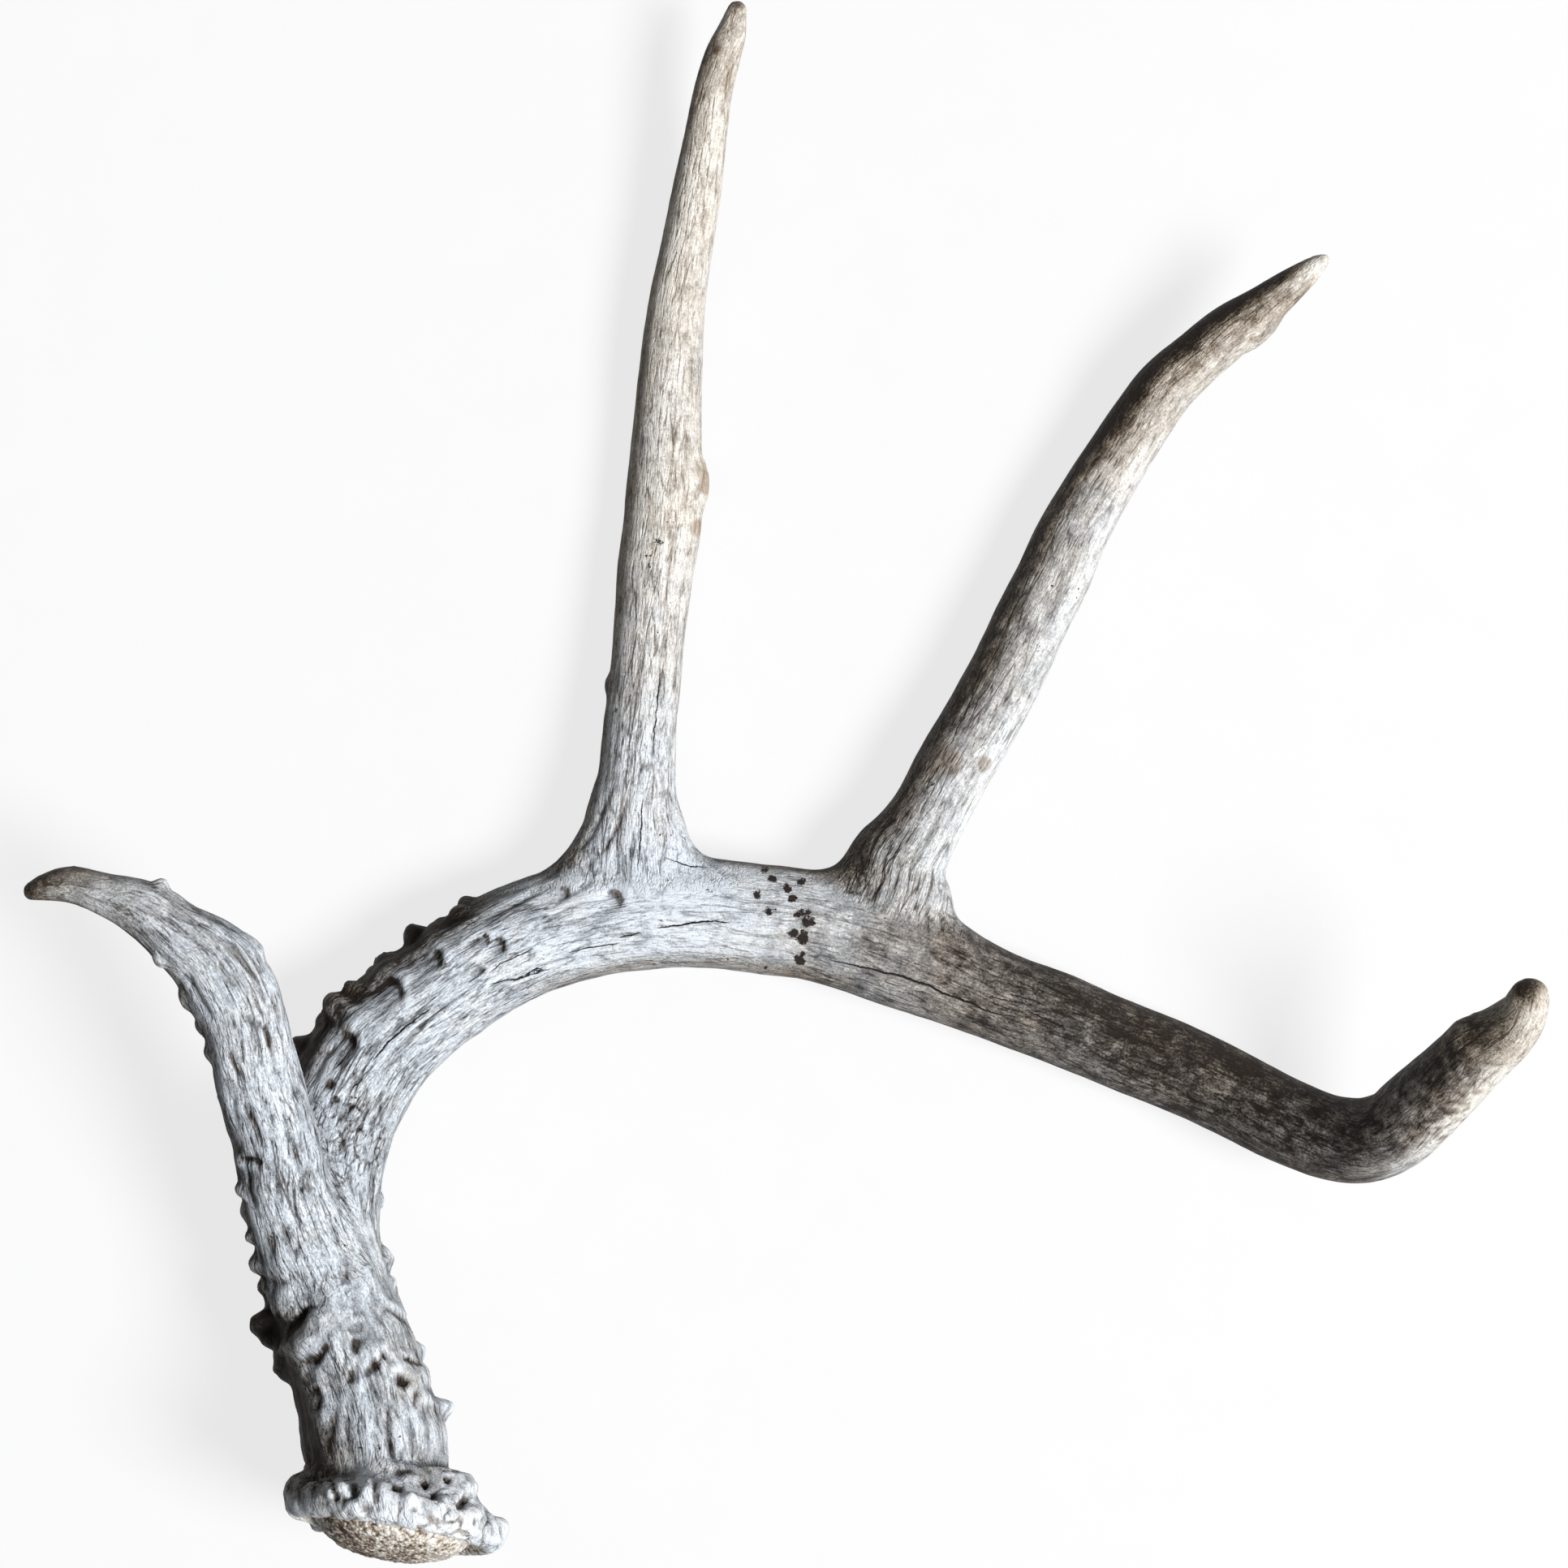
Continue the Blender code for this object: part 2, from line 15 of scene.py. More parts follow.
import bpy
import numpy as np
from mathutils import Matrix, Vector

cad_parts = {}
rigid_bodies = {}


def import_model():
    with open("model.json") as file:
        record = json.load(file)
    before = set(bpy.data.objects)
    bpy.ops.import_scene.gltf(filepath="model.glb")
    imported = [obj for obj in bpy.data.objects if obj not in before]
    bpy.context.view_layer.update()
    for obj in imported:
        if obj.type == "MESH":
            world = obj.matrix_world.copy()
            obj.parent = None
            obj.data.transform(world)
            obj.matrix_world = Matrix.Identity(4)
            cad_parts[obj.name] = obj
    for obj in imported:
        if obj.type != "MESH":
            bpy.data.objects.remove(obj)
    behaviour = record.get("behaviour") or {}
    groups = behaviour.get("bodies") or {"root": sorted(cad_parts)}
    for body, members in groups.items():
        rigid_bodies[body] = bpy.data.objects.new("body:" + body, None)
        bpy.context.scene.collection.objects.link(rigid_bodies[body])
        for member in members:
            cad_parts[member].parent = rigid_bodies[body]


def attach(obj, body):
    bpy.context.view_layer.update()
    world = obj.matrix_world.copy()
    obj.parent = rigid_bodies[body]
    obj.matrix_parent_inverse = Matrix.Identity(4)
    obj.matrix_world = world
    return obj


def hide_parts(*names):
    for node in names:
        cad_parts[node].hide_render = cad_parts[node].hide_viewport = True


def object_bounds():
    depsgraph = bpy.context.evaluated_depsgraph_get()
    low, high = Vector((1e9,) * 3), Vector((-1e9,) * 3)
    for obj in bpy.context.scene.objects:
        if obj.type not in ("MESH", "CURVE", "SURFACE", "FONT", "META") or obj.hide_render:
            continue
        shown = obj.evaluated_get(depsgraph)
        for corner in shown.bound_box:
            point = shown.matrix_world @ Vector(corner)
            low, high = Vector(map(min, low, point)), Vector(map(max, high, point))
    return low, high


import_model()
cad_box = np.array([list(corner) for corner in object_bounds()])
print("CAD box in mm:", (cad_box * 1000).round(1).tolist())

# %% [markdown]
# ## The skeleton
#
# Each branch is a row of stations that were chosen against the photograph.
# A station is (x, y, z, half width, half depth) in millimetres: x and y lie in the
# picture plane, from its middle, and z is the height over the table. The stations
# are close together where a branch bends or where its outline steps in or out.

# %% The stations of the four branches
MM = 0.001
# In millimetres: how far the eye is over the picture plane, how high that plane
# lies over the table, and how wide it is.
EYE_DISTANCE = 950.0
PICTURE_HEIGHT = 20.0
PICTURE_ACROSS = 386.4

BEAM = [
    (-97.2, -178.8, 41.0, 16.0, 16.0),
    (-99.6, -170.8, 38.8, 17.0, 17.0),
    (-100.8, -162.8, 36.5, 17.4, 17.6),
    (-103.6, -150.4, 32.6, 16.4, 17.0),
    (-108.0, -137.2, 28.6, 16.2, 16.6),
    (-112.2, -124.4, 24.6, 15.4, 16.2),
    (-114.2, -111.2, 21.0, 14.8, 15.8),
    (-114.0, -97.8, 17.4, 14.8, 15.2),
    (-111.4, -85.8, 14.7, 14.7, 15.0),
    (-106.2, -73.4, 14.2, 14.9, 14.8),
    (-98.4, -62.0, 14.8, 14.7, 14.4),
    (-87.2, -52.6, 15.4, 14.2, 14.0),
    (-74.8, -44.0, 15.8, 14.2, 13.6),
    (-61.2, -37.2, 16.0, 14.4, 13.0),
    (-47.2, -33.4, 16.0, 14.4, 12.6),
    (-33.2, -31.6, 15.9, 14.4, 12.4),
    (-19.2, -31.8, 15.6, 13.8, 12.2),
    (-5.2, -33.2, 15.2, 13.6, 12.0),
    (7.0, -34.8, 14.6, 13.7, 12.0),
    (18.8, -38.0, 14.0, 13.9, 12.0),
    (28.8, -41.6, 13.3, 13.9, 11.9),
    (36.6, -44.8, 12.7, 13.2, 11.6),
    (46.0, -49.4, 12.1, 11.8, 11.2),
    (55.6, -53.4, 11.5, 11.2, 10.8),
    (66.6, -57.4, 10.8, 11.2, 10.6),
    (81.2, -63.6, 9.9, 11.0, 10.4),
    (96.8, -69.8, 10.0, 10.9, 10.4),
    (110.6, -76.4, 12.4, 10.7, 10.4),
    (122.8, -82.6, 16.4, 10.6, 10.4),
    (133.6, -86.8, 21.5, 10.5, 10.4),
    (142.8, -87.8, 27.5, 10.5, 10.4),
    (150.6, -85.0, 34.5, 10.3, 10.2),
    (157.4, -79.0, 42.0, 10.0, 9.8),
    (164.0, -72.8, 49.5, 9.4, 9.4),
    (170.8, -66.4, 57.0, 8.9, 8.8),
    (177.6, -61.4, 63.5, 7.7, 7.6),
    (182.4, -56.2, 69.5, 6.0, 5.8),
    (184.2, -52.2, 73.0, 4.6, 4.5),
]

BROW_TINE = [
    (-108.6, -140.0, 26.4, 12.4, 12.6),
    (-112.6, -129.0, 27.6, 12.2, 12.6),
    (-116.8, -118.4, 29.8, 11.8, 12.4),
    (-120.4, -108.6, 32.8, 11.4, 11.8),
    (-123.2, -98.6, 36.6, 11.0, 11.2),
    (-125.4, -86.8, 41.8, 10.8, 10.6),
    (-128.6, -76.8, 46.0, 10.7, 10.4),
    (-130.6, -68.8, 49.2, 10.5, 10.2),
    (-133.0, -58.6, 52.8, 10.4, 10.2),
    (-136.0, -51.2, 55.0, 11.0, 10.2),
    (-141.8, -42.8, 56.8, 10.2, 9.6),
    (-149.4, -37.0, 57.6, 8.4, 8.6),
    (-156.2, -31.6, 57.6, 7.5, 7.8),
    (-163.6, -28.4, 57.0, 6.0, 6.4),
    (-169.6, -26.4, 56.2, 5.1, 5.4),
    (-175.2, -24.8, 55.2, 4.7, 4.8),
    (-180.8, -25.2, 54.0, 3.8, 3.9),
    (-185.2, -26.4, 53.0, 2.6, 2.6),
]

SECOND_TINE = [
    (-37.0, -26.8, 16.0, 30.0, 9.0),
    (-37.2, -21.2, 15.8, 22.5, 9.6),
    (-37.2, -16.0, 15.5, 16.2, 10.0),
    (-37.0, -10.4, 15.1, 13.0, 9.8),
    (-37.0, -5.0, 14.8, 11.2, 9.6),
    (-36.2, 2.6, 13.8, 9.7, 9.2),
    (-35.6, 13.2, 12.6, 9.2, 8.9),
    (-34.6, 23.2, 11.4, 9.0, 8.8),
    (-33.6, 33.2, 10.4, 8.9, 8.7),
    (-32.6, 43.2, 9.6, 9.1, 8.7),
    (-31.6, 53.2, 8.8, 9.5, 8.7),
    (-30.2, 62.4, 8.3, 9.7, 8.7),
    (-29.4, 73.2, 8.0, 9.5, 8.5),
    (-28.8, 87.6, 8.2, 8.5, 8.2),
    (-27.8, 103.2, 9.6, 7.9, 7.8),
    (-26.4, 118.6, 10.4, 7.1, 7.2),
    (-23.8, 133.2, 11.8, 6.5, 6.7),
    (-21.4, 146.8, 13.6, 6.1, 6.1),
    (-19.4, 159.2, 15.6, 5.4, 5.5),
    (-17.6, 170.2, 17.8, 4.9, 4.9),
    (-15.2, 179.2, 20.0, 4.6, 4.4),
    (-12.8, 185.6, 21.8, 3.8, 3.7),
    (-11.6, 190.8, 23.2, 2.6, 2.6),
]

THIRD_TINE = [
    (24.6, -30.8, 14.4, 21.0, 9.0),
    (27.0, -24.8, 14.4, 15.8, 9.4),
    (28.4, -19.0, 14.3, 12.6, 9.5),
    (31.8, -13.8, 14.1, 10.6, 9.3),
    (36.2, -6.4, 13.8, 9.5, 9.1),
    (41.6, 3.8, 13.2, 9.6, 9.0),
    (48.8, 16.0, 12.5, 9.5, 8.9),
    (55.6, 28.8, 11.8, 9.4, 8.9),
    (60.8, 40.2, 11.2, 9.2, 8.8),
    (66.2, 50.6, 10.9, 9.2, 8.7),
    (70.6, 60.8, 10.8, 8.8, 8.5),
    (76.0, 70.6, 11.0, 8.4, 8.2),
    (82.2, 80.6, 11.6, 8.0, 7.9),
    (88.4, 90.0, 12.8, 7.8, 7.6),
    (94.2, 98.0, 14.6, 7.5, 7.3),
    (101.4, 104.6, 17.2, 7.0, 6.9),
    (109.8, 111.6, 20.5, 6.7, 6.5),
    (118.0, 117.6, 24.0, 5.4, 5.4),
    (125.2, 123.2, 27.4, 4.2, 4.2),
    (130.6, 127.4, 29.8, 2.9, 2.9),
    (132.9, 129.2, 31.0, 1.9, 1.9),
]

# The coronet is the knobbed ring at the base: its centre, how far its face tips
# up and turns, and its profile as (distance up its axis, radius).
CORONET_CENTRE = (-97.0, -186.4, 44.0)
CORONET_TIP_UP = math.radians(18)
CORONET_TURN = math.radians(-9)
CORONET_PROFILE = [
    (-4.6, 3.0),
    (-4.0, 8.0),
    (-2.6, 13.0),
    (-0.6, 16.6),
    (2.4, 18.6),
    (3.2, 20.0),
    (1.4, 21.6),
    (0.6, 23.8),
    (2.4, 25.6),
    (5.2, 26.2),
    (8.0, 24.6),
    (10.0, 21.8),
    (13.0, 18.6),
    (17.0, 17.2),
]

# %% [markdown]
# A branch is read between its stations with a smooth line, and is then sampled
# evenly. `place` turns the question round: it says where any point lies on a
# branch. The bark, the grooves and the colours all use that answer.

# %% A branch and the place of points on it
STATION_STEP = 2.5
TIP_TURNS = (30, 55, 75)


def unit(rows):
    return rows / np.maximum(np.linalg.norm(rows, axis=-1, keepdims=True), 1e-9)


def smooth_line(points, steps=10):
    """A Catmull-Rom line through the points."""
    ends = np.vstack([2 * points[0] - points[1], points, 2 * points[-1] - points[-2]])
    line = []
    for a, b, c, d in zip(ends, ends[1:], ends[2:], ends[3:]):
        for t in np.linspace(0, 1, steps, endpoint=False):
            line.append(
                0.5 * (2 * b + (c - a) * t + (2 * a - 5 * b + 4 * c - d) * t**2)
                + 0.5 * (3 * b - a - 3 * c + d) * t**3
            )
    return np.array(line + [points[-1]])


def nearer_by(height):
    """How much smaller a thing is than the picture plane shows it, at a height."""
    return 1 - (height - PICTURE_HEIGHT) / EYE_DISTANCE


class Branch:
    """A centre line with its own right, up and forward, and a section, at each sample."""

    def __init__(self, stations):
        table = np.array(stations, float)
        table[:, [0, 1, 3, 4]] *= nearer_by(table[:, 2:3])
        fine = smooth_line(table)
        gaps = np.linalg.norm(np.diff(fine[:, :3], axis=0), axis=1)
        walk = np.concatenate([[0], np.cumsum(gaps)])
        self.along = np.linspace(0, walk[-1], int(walk[-1] / STATION_STEP) + 1)
        even = np.stack([np.interp(self.along, walk, row) for row in fine.T], axis=1)
        self.centre, self.half = even[:, :3], even[:, 3:]
        self.tangent = unit(np.gradient(self.centre, axis=0))
        up = np.array([0, 0, 1.0]) - self.tangent * self.tangent[:, 2:3]
        self.up = unit(up)
        self.right = np.cross(self.tangent, self.up)

    def rings(self):
        """Each ring as (centre, its three directions, half sizes), with a round tip."""
        ways = np.stack([self.right, self.up, self.tangent], axis=1)
        found = list(zip(self.centre, ways, self.half))
        for turn in np.radians(TIP_TURNS):
            out = self.tangent[-1] * self.half[-1].mean() * math.sin(turn)
            found.append((self.centre[-1] + out, ways[-1], self.half[-1] * math.cos(turn)))
        return found

    def place(self, points):
        """For each point: (across, lift, along) on this branch, in mm, how far out it
        is with 1 at the plain skin, and the branch's way there."""
        near = ((self.centre**2).sum(1) - 2 * points @ self.centre.T).argmin(1)
        ahead = ((points - self.centre[near]) * self.tangent[near]).sum(1)
        low = np.clip(near - (ahead < 0), 0, len(self.along) - 2)
        past = ((points - self.centre[low]) * self.tangent[low]).sum(1)
        left = ((self.centre[low + 1] - points) * self.tangent[low + 1]).sum(1)
        part = past / np.maximum(past + left, STATION_STEP / 10)
        inside = np.clip(part, 0, 1)[:, None]
        middle = self.centre[low] + (self.centre[low + 1] - self.centre[low]) * part[:, None]
        along = self.along[low] + (self.along[1] - self.along[0]) * part
        half = self.half[low] + (self.half[low + 1] - self.half[low]) * inside
        ways = []
        for rows in (self.right, self.up, self.tangent):
            ways.append(unit(rows[low] + (rows[low + 1] - rows[low]) * inside))
        across = ((points - middle) * ways[0]).sum(1)
        lift = ((points - middle) * ways[1]).sum(1)
        out = np.hypot(across / half[:, 0], lift / half[:, 1])
        return np.stack([across, lift, along], axis=1), out, ways[2]

    def seen_at(self, x, y):
        """The sample nearest to a point of the picture, and the angle seen there."""
        nearer = nearer_by(self.centre[:, 2:3])
        offset = np.array([x, y]) - self.centre[:, :2] / nearer
        i = int(np.argmin(np.linalg.norm(offset, axis=1)))
        side = unit(self.right[i, :2])
        reach = float(offset[i] @ side) / (self.half[i, 0] / nearer[i, 0])
        return i, math.asin(max(-1.0, min(1.0, reach)))

    def surface(self, i, angle):
        """The point of the plain skin at a sample and angle, and the way out of it."""
        across = self.right[i] * math.sin(angle)
        lift = self.up[i] * math.cos(angle)
        spot = self.centre[i] + across * self.half[i, 0] + lift * self.half[i, 1]
        return spot, across + lift


branches = {
    "beam": Branch(BEAM),
    "brow_tine": Branch(BROW_TINE),
    "second_tine": Branch(SECOND_TINE),
    "third_tine": Branch(THIRD_TINE),
}
TINES = ("brow_tine", "second_tine", "third_tine")
for name, branch in branches.items():
    print(f"{name}: {branch.along[-1]:.0f} mm long, {len(branch.along)} rings")

# %% [markdown]
# ## Growing the branches
#
# Each branch starts as one circle of points. In edit mode it is extruded from
# ring to ring, and each new ring is turned and scaled about its own centre. That
# is how a modeller would pull a horn out of a disc. The coronet is made the same
# way, from a small disc that is pulled out to the rim and in again.

# %% A ring that is extruded, turned and scaled
RING_SIDES = 28


def settle_ring(old, new):
    """Turns and scales the chosen ring from one ring's stance to the next one's."""
    turn = (Matrix(new[1].T.tolist()) @ Matrix(old[1].tolist())).to_quaternion()
    if turn.angle > 1e-6:
        side = turn.axis.orthogonal().normalized()
        bpy.ops.transform.rotate(
            value=-turn.angle,
            orient_axis="Z",
            orient_matrix=(side, turn.axis.cross(side), turn.axis),
            center_override=new[0],
        )
    bpy.ops.transform.resize(
        value=(*(new[2] / old[2]), 1), orient_matrix=new[1], center_override=new[0]
    )


def pull_out(name, rings):
    """A closed tube through the rings, extruded from one circle."""
    bpy.ops.object.select_all(action="DESELECT")
    bpy.ops.mesh.primitive_circle_add(vertices=RING_SIDES, radius=1, fill_type="NGON")
    tube = bpy.context.object
    tube.name = name
    bpy.ops.object.mode_set(mode="EDIT")
    bpy.ops.mesh.select_mode(type="FACE")
    now = (np.zeros(3), np.diag([1.0, 1.0, -1.0]), np.ones(2))
    for number, ring in enumerate(rings):
        step = ring[0] - now[0]
        if number:
            bpy.ops.mesh.extrude_region_move(TRANSFORM_OT_translate={"value": step})
        else:
            bpy.ops.transform.translate(value=step)
        settle_ring(now, ring)
        now = ring
    bpy.ops.mesh.select_all(action="SELECT")
    bpy.ops.mesh.normals_make_consistent(inside=False)
    bpy.ops.object.mode_set(mode="OBJECT")
    return tube


def coronet_axes():
    """The coronet's centre, and its directions: up its axis, right and front."""
    tip, turn = CORONET_TIP_UP, CORONET_TURN
    flat = np.array([-math.sin(turn), math.cos(turn), 0]) * math.cos(tip)
    axis = flat - np.array([0, 0, math.sin(tip)])
    right = unit(np.array([axis[1], -axis[0], 0.0]))
    nearer = nearer_by(CORONET_CENTRE[2])
    return np.array(CORONET_CENTRE) * (nearer, nearer, 1), axis, right, np.cross(right, axis)


base, base_axis, base_right, base_front = coronet_axes()
base_ways = np.stack([base_right, base_front, base_axis])
base_rings = [(base + base_axis * up, base_ways, np.array([r, r])) for up, r in CORONET_PROFILE]
tubes = [pull_out("coronet", base_rings)]
for name, branch in branches.items():
    tubes.append(pull_out(name, branch.rings()))
print("pulled out:", ", ".join(f"{tube.name} {len(tube.data.polygons)}" for tube in tubes))

# %% [markdown]
# ## One skin
#
# The tubes only cross each other at the forks, and real bone flows from one branch
# into the next. So the tubes are joined and a voxel remesh grows them together,
# and the crotches are smoothed further into soft webs. The cell is small enough
# for the bark, and the largest piece still stays under 200,000 triangles.

# %% Growing the tubes together
SKIN_CELL = 0.81
SKIN_SMOOTHING = 12
WEB_SMOOTHING = 95
FORK_MARGIN = 0.8
WEB_STEPS = 10


def choose_only(obj):
    """Chooses one object and makes it the active one."""
    bpy.ops.object.select_all(action="DESELECT")
    obj.select_set(True)
    bpy.context.view_layer.objects.active = obj


def modify(obj, kind, **settings):
    """Adds a modifier with its settings and applies it."""
    choose_only(obj)
    bpy.ops.object.modifier_add(type=kind)
    modifier = obj.modifiers[-1]
    for setting, value in settings.items():
        setattr(modifier, setting, value)
    bpy.ops.object.modifier_apply(modifier=modifier.name)


def read_points(mesh, what="vertices", field="co"):
    """Three numbers for each vertex, face or corner, as rows."""
    rows = np.empty(len(getattr(mesh, what)) * 3)
    getattr(mesh, what).foreach_get(field, rows)
    return rows.reshape(-1, 3)


def fork_margin(points):
    """How much further off the second nearest branch is, in half widths."""
    reach = np.full((len(branches), len(points)), np.inf)
    for row, branch in zip(reach, branches.values()):
        for centre, half in zip(branch.centre, branch.half):
            np.minimum(row, np.linalg.norm(points - centre, axis=1) / half.mean(), out=row)
    first, second = np.sort(reach, axis=0)[:2]
    return second - first


bpy.ops.object.select_all(action="DESELECT")
for tube in tubes:
    tube.select_set(True)
skin = tubes[0]
bpy.context.view_layer.objects.active = skin
bpy.ops.object.join()
modify(skin, "REMESH", mode="VOXEL", voxel_size=SKIN_CELL)
modify(skin, "SMOOTH", iterations=SKIN_SMOOTHING)
web = np.clip(1 - fork_margin(read_points(skin.data)) / FORK_MARGIN, 0, 1)
group = skin.vertex_groups.new(name="webs")
for step in range(1, WEB_STEPS + 1):
    chosen = np.flatnonzero(np.ceil(web * WEB_STEPS) == step)
    group.add(chosen.tolist(), step / WEB_STEPS, "REPLACE")
modify(skin, "SMOOTH", iterations=WEB_SMOOTHING, vertex_group="webs")
skin.vertex_groups.clear()
print("skin:", len(skin.data.polygons), "faces;", int((web > 0).sum()), "points in webs")

# %% [markdown]
# ## A map of the skin
#
# From here on the skin is shaped and painted point by point, so a few lists are
# made for all its points: which points are neighbours, where each one lies on the
# beam and on the nearest tine, and which of the two it belongs to.

# %% Neighbours, and averages over them
mesh = skin.data
points = read_points(mesh)
plain_normals = read_points(mesh, "vertex_normals", "vector")
everyone = np.arange(len(points))


def neighbour_table(mesh):
    """In each row a vertex and then its neighbours, padded with the vertex itself."""
    ends = np.empty(len(mesh.edges) * 2, int)
    mesh.edges.foreach_get("vertices", ends)
    ends = ends.reshape(-1, 2)
    start, end = np.vstack([ends, ends[:, ::-1]]).T
    order = np.argsort(start, kind="stable")
    start, end = start[order], end[order]
    count = np.bincount(start, minlength=len(mesh.vertices))
    first = np.cumsum(count) - count
    table = np.tile(np.arange(len(count))[:, None], (1, count.max() + 1))
    table[start, np.arange(len(start)) - first[start] + 1] = end
    return table, count


around, friends = neighbour_table(mesh)


def even_out(values, rounds):
    """Averages every vertex with its neighbours, a number of times."""
    shape = (-1,) + (1,) * (values.ndim - 1)
    spare = (around.shape[1] - 1 - friends).reshape(shape)
    for _ in range(rounds):
        values = (values[around].sum(axis=1) - spare * values) / (friends.reshape(shape) + 1)
    return values


def soft_step(values, low, high):
    """0 below low, 1 above high, and a smooth rise between."""
    part = np.clip((values - low) / (high - low), 0, 1)
    return part * part * (3 - 2 * part)


print("each point has", friends.min(), "to", friends.max(), "neighbours")

# %% [markdown]
# The beam runs past all three tines, so every point is placed on the beam and also
# on its nearest tine. A share from 0 to 1 then says how far it belongs to the tine.
# A soft share is chosen over a plain yes or no, because every list that is read
# along a branch would otherwise jump at the forks.

# %% Where each point lies
# How softly the beam hands over to a tine, and how softly and early its grain does,
# in half widths of a branch. Points behind a tine's base count as further out.
SHARE_WIDTH = 0.22
GRAIN_WIDTH = 0.7
GRAIN_LEAD = 0.35
BEHIND_BASE = 5
FAR_OUT = 4

on_beam, beam_out, beam_way = branches["beam"].place(points)
tine_out = np.full(len(points), np.inf)
on_tine = np.zeros_like(on_beam)
tine_way = np.zeros_like(on_beam)
tine_number = np.zeros(len(points), int)
for number, name in enumerate(TINES):
    spot, out, way = branches[name].place(points)
    out = out + np.maximum(0, -spot[:, 2]) / BEHIND_BASE
    mine = out < tine_out
    tine_out[mine], on_tine[mine], tine_way[mine] = out[mine], spot[mine], way[mine]
    tine_number[mine] = number
lead = np.clip(beam_out, 0, FAR_OUT) - np.clip(tine_out, 0, FAR_OUT)
tine_share = even_out(soft_step(lead, -SHARE_WIDTH, SHARE_WIDTH), 3)
from_base = points - base
up_base = from_base @ base_axis
out_base = np.linalg.norm(from_base - np.outer(up_base, base_axis), axis=1)
for number, name in enumerate(TINES):
    mine = (tine_share > 0.5) & (tine_number == number)
    print(f"{name}: {mine.sum()} points")


def along_values(table):
    """A value for each point from lists of (distance along a branch, value)."""
    beam = np.interp(on_beam[:, 2], *zip(*table["beam"]))
    tine = np.zeros(len(points))
    for number, name in enumerate(TINES):
        mine = tine_number == number
        tine[mine] = np.interp(on_tine[mine, 2], *zip(*table[name]))
    return beam + (tine - beam) * tine_share


# %% [markdown]
# ## The grain
#
# Bone fibres run along each branch and fan out where a tine leaves the beam. At
# every point the beam's way and the tine's way are mixed as lines, so that there
# is no forward or back, laid flat on the skin and evened out. In the crotches the
# lines then follow the curve of the crotch. Between three streams a small spot is
# left with no way of its own, and the real antler is grainy there.

# %% The way of the fibres
GRAIN_ROUNDS = 30
NO_WAY = 0.6

share = soft_step(lead + GRAIN_LEAD, -GRAIN_WIDTH, GRAIN_WIDTH)[:, None, None]
fibres = (1 - share) * beam_way[:, :, None] * beam_way[:, None, :]
fibres += share * tine_way[:, :, None] * tine_way[:, None, :]
flat = np.eye(3) - plain_normals[:, :, None] * plain_normals[:, None, :]
for _ in range(2):
    fibres = flat @ fibres @ flat
    size = np.trace(fibres, axis1=1, axis2=2)[:, None, None]
    fibres = even_out((fibres / np.maximum(size, 1e-6)).astype(np.float32), GRAIN_ROUNDS)
strength, ways = np.linalg.eigh(flat @ fibres @ flat)
grain = unit(ways[:, :, 2])
neutral = np.clip(strength[:, 1] / np.maximum(strength[:, 2], 1e-6), 0, 1)
print("points with no clear way:", int((neutral > NO_WAY).sum()))

# %% [markdown]
# To draw streaks, random specks are smeared along the fibres. Each point walks a
# few millimetres forward and back on the skin, hopping from neighbour to
# neighbour, and averages the specks that it meets. Points side by side across the
# grain meet other specks, and points in line meet the same, so streaks appear.

# %% Specks and streaks
WALK_STEP = 0.75
LATTICE = 32


def specks(places, size, seed):
    """Smooth random values in space, from a seeded lattice of that cell size."""
    dice = np.random.default_rng(seed)
    lattice = dice.uniform(-1, 1, LATTICE**3).astype(np.float32)
    grid = (places / size + dice.uniform(0, LATTICE, 3)).astype(np.float32)
    low = np.floor(grid)
    part = grid - low
    part = part * part * (3 - 2 * part)
    low = low.astype(np.int32) % LATTICE
    high = (low + 1) % LATTICE
    total = 0
    for x, wx in ((low[:, 0], 1 - part[:, 0]), (high[:, 0], part[:, 0])):
        for y, wy in ((low[:, 1], 1 - part[:, 1]), (high[:, 1], part[:, 1])):
            row, weight = (x * LATTICE + y) * LATTICE, wx * wy
            below, above = lattice[row + low[:, 2]], lattice[row + high[:, 2]]
            total = total + weight * (below + (above - below) * part[:, 2])
    return total


def smear(kinds):
    """Streaks from specks, each kind of them evened to a mean of 0 and a spread of 1."""
    longest = max(reach for _, reach, _ in kinds.values())
    total = {name: specks(points, size, seed) for name, (size, _, seed) in kinds.items()}
    for way in (1, -1):
        place, at, heading = points.copy(), everyone, grain * way
        for number in range(1, int(longest / WALK_STEP) + 1):
            place = place + heading * WALK_STEP
            choice = around[at]
            gap = ((points[choice] - place[:, None]) ** 2).sum(axis=2)
            at = choice[everyone, gap.argmin(axis=1)]
            out = plain_normals[at]
            place -= out * ((place - points[at]) * out).sum(axis=1, keepdims=True)
            ahead = grain[at]
            same = np.sign((ahead * heading).sum(axis=1, keepdims=True))
            heading = ahead * np.where(same == 0, 1, same)
            for name, (size, reach, seed) in kinds.items():
                walked = number * WALK_STEP
                if walked <= reach and walked % (size / 2) < WALK_STEP:
                    weight = 0.5 + 0.5 * math.cos(math.pi * walked / reach)
                    total[name] += weight * specks(place, size, seed)
    return {name: (v - v.mean()) / v.std() for name, v in total.items()}


# A kind of streak is (cell size, how far to walk, seed).
STREAKS = {
    "furrow": (1.5, 15.0, 3),
    "groove": (2.3, 10.0, 12),
    "fibre": (0.95, 8.0, 5),
    "crag": (3.6, 4.5, 9),
    "band": (3.6, 18.0, 8),
}
streaks = smear(STREAKS)
for name, value in streaks.items():
    print(f"{name} streaks from {value.min():.1f} to {value.max():.1f}")

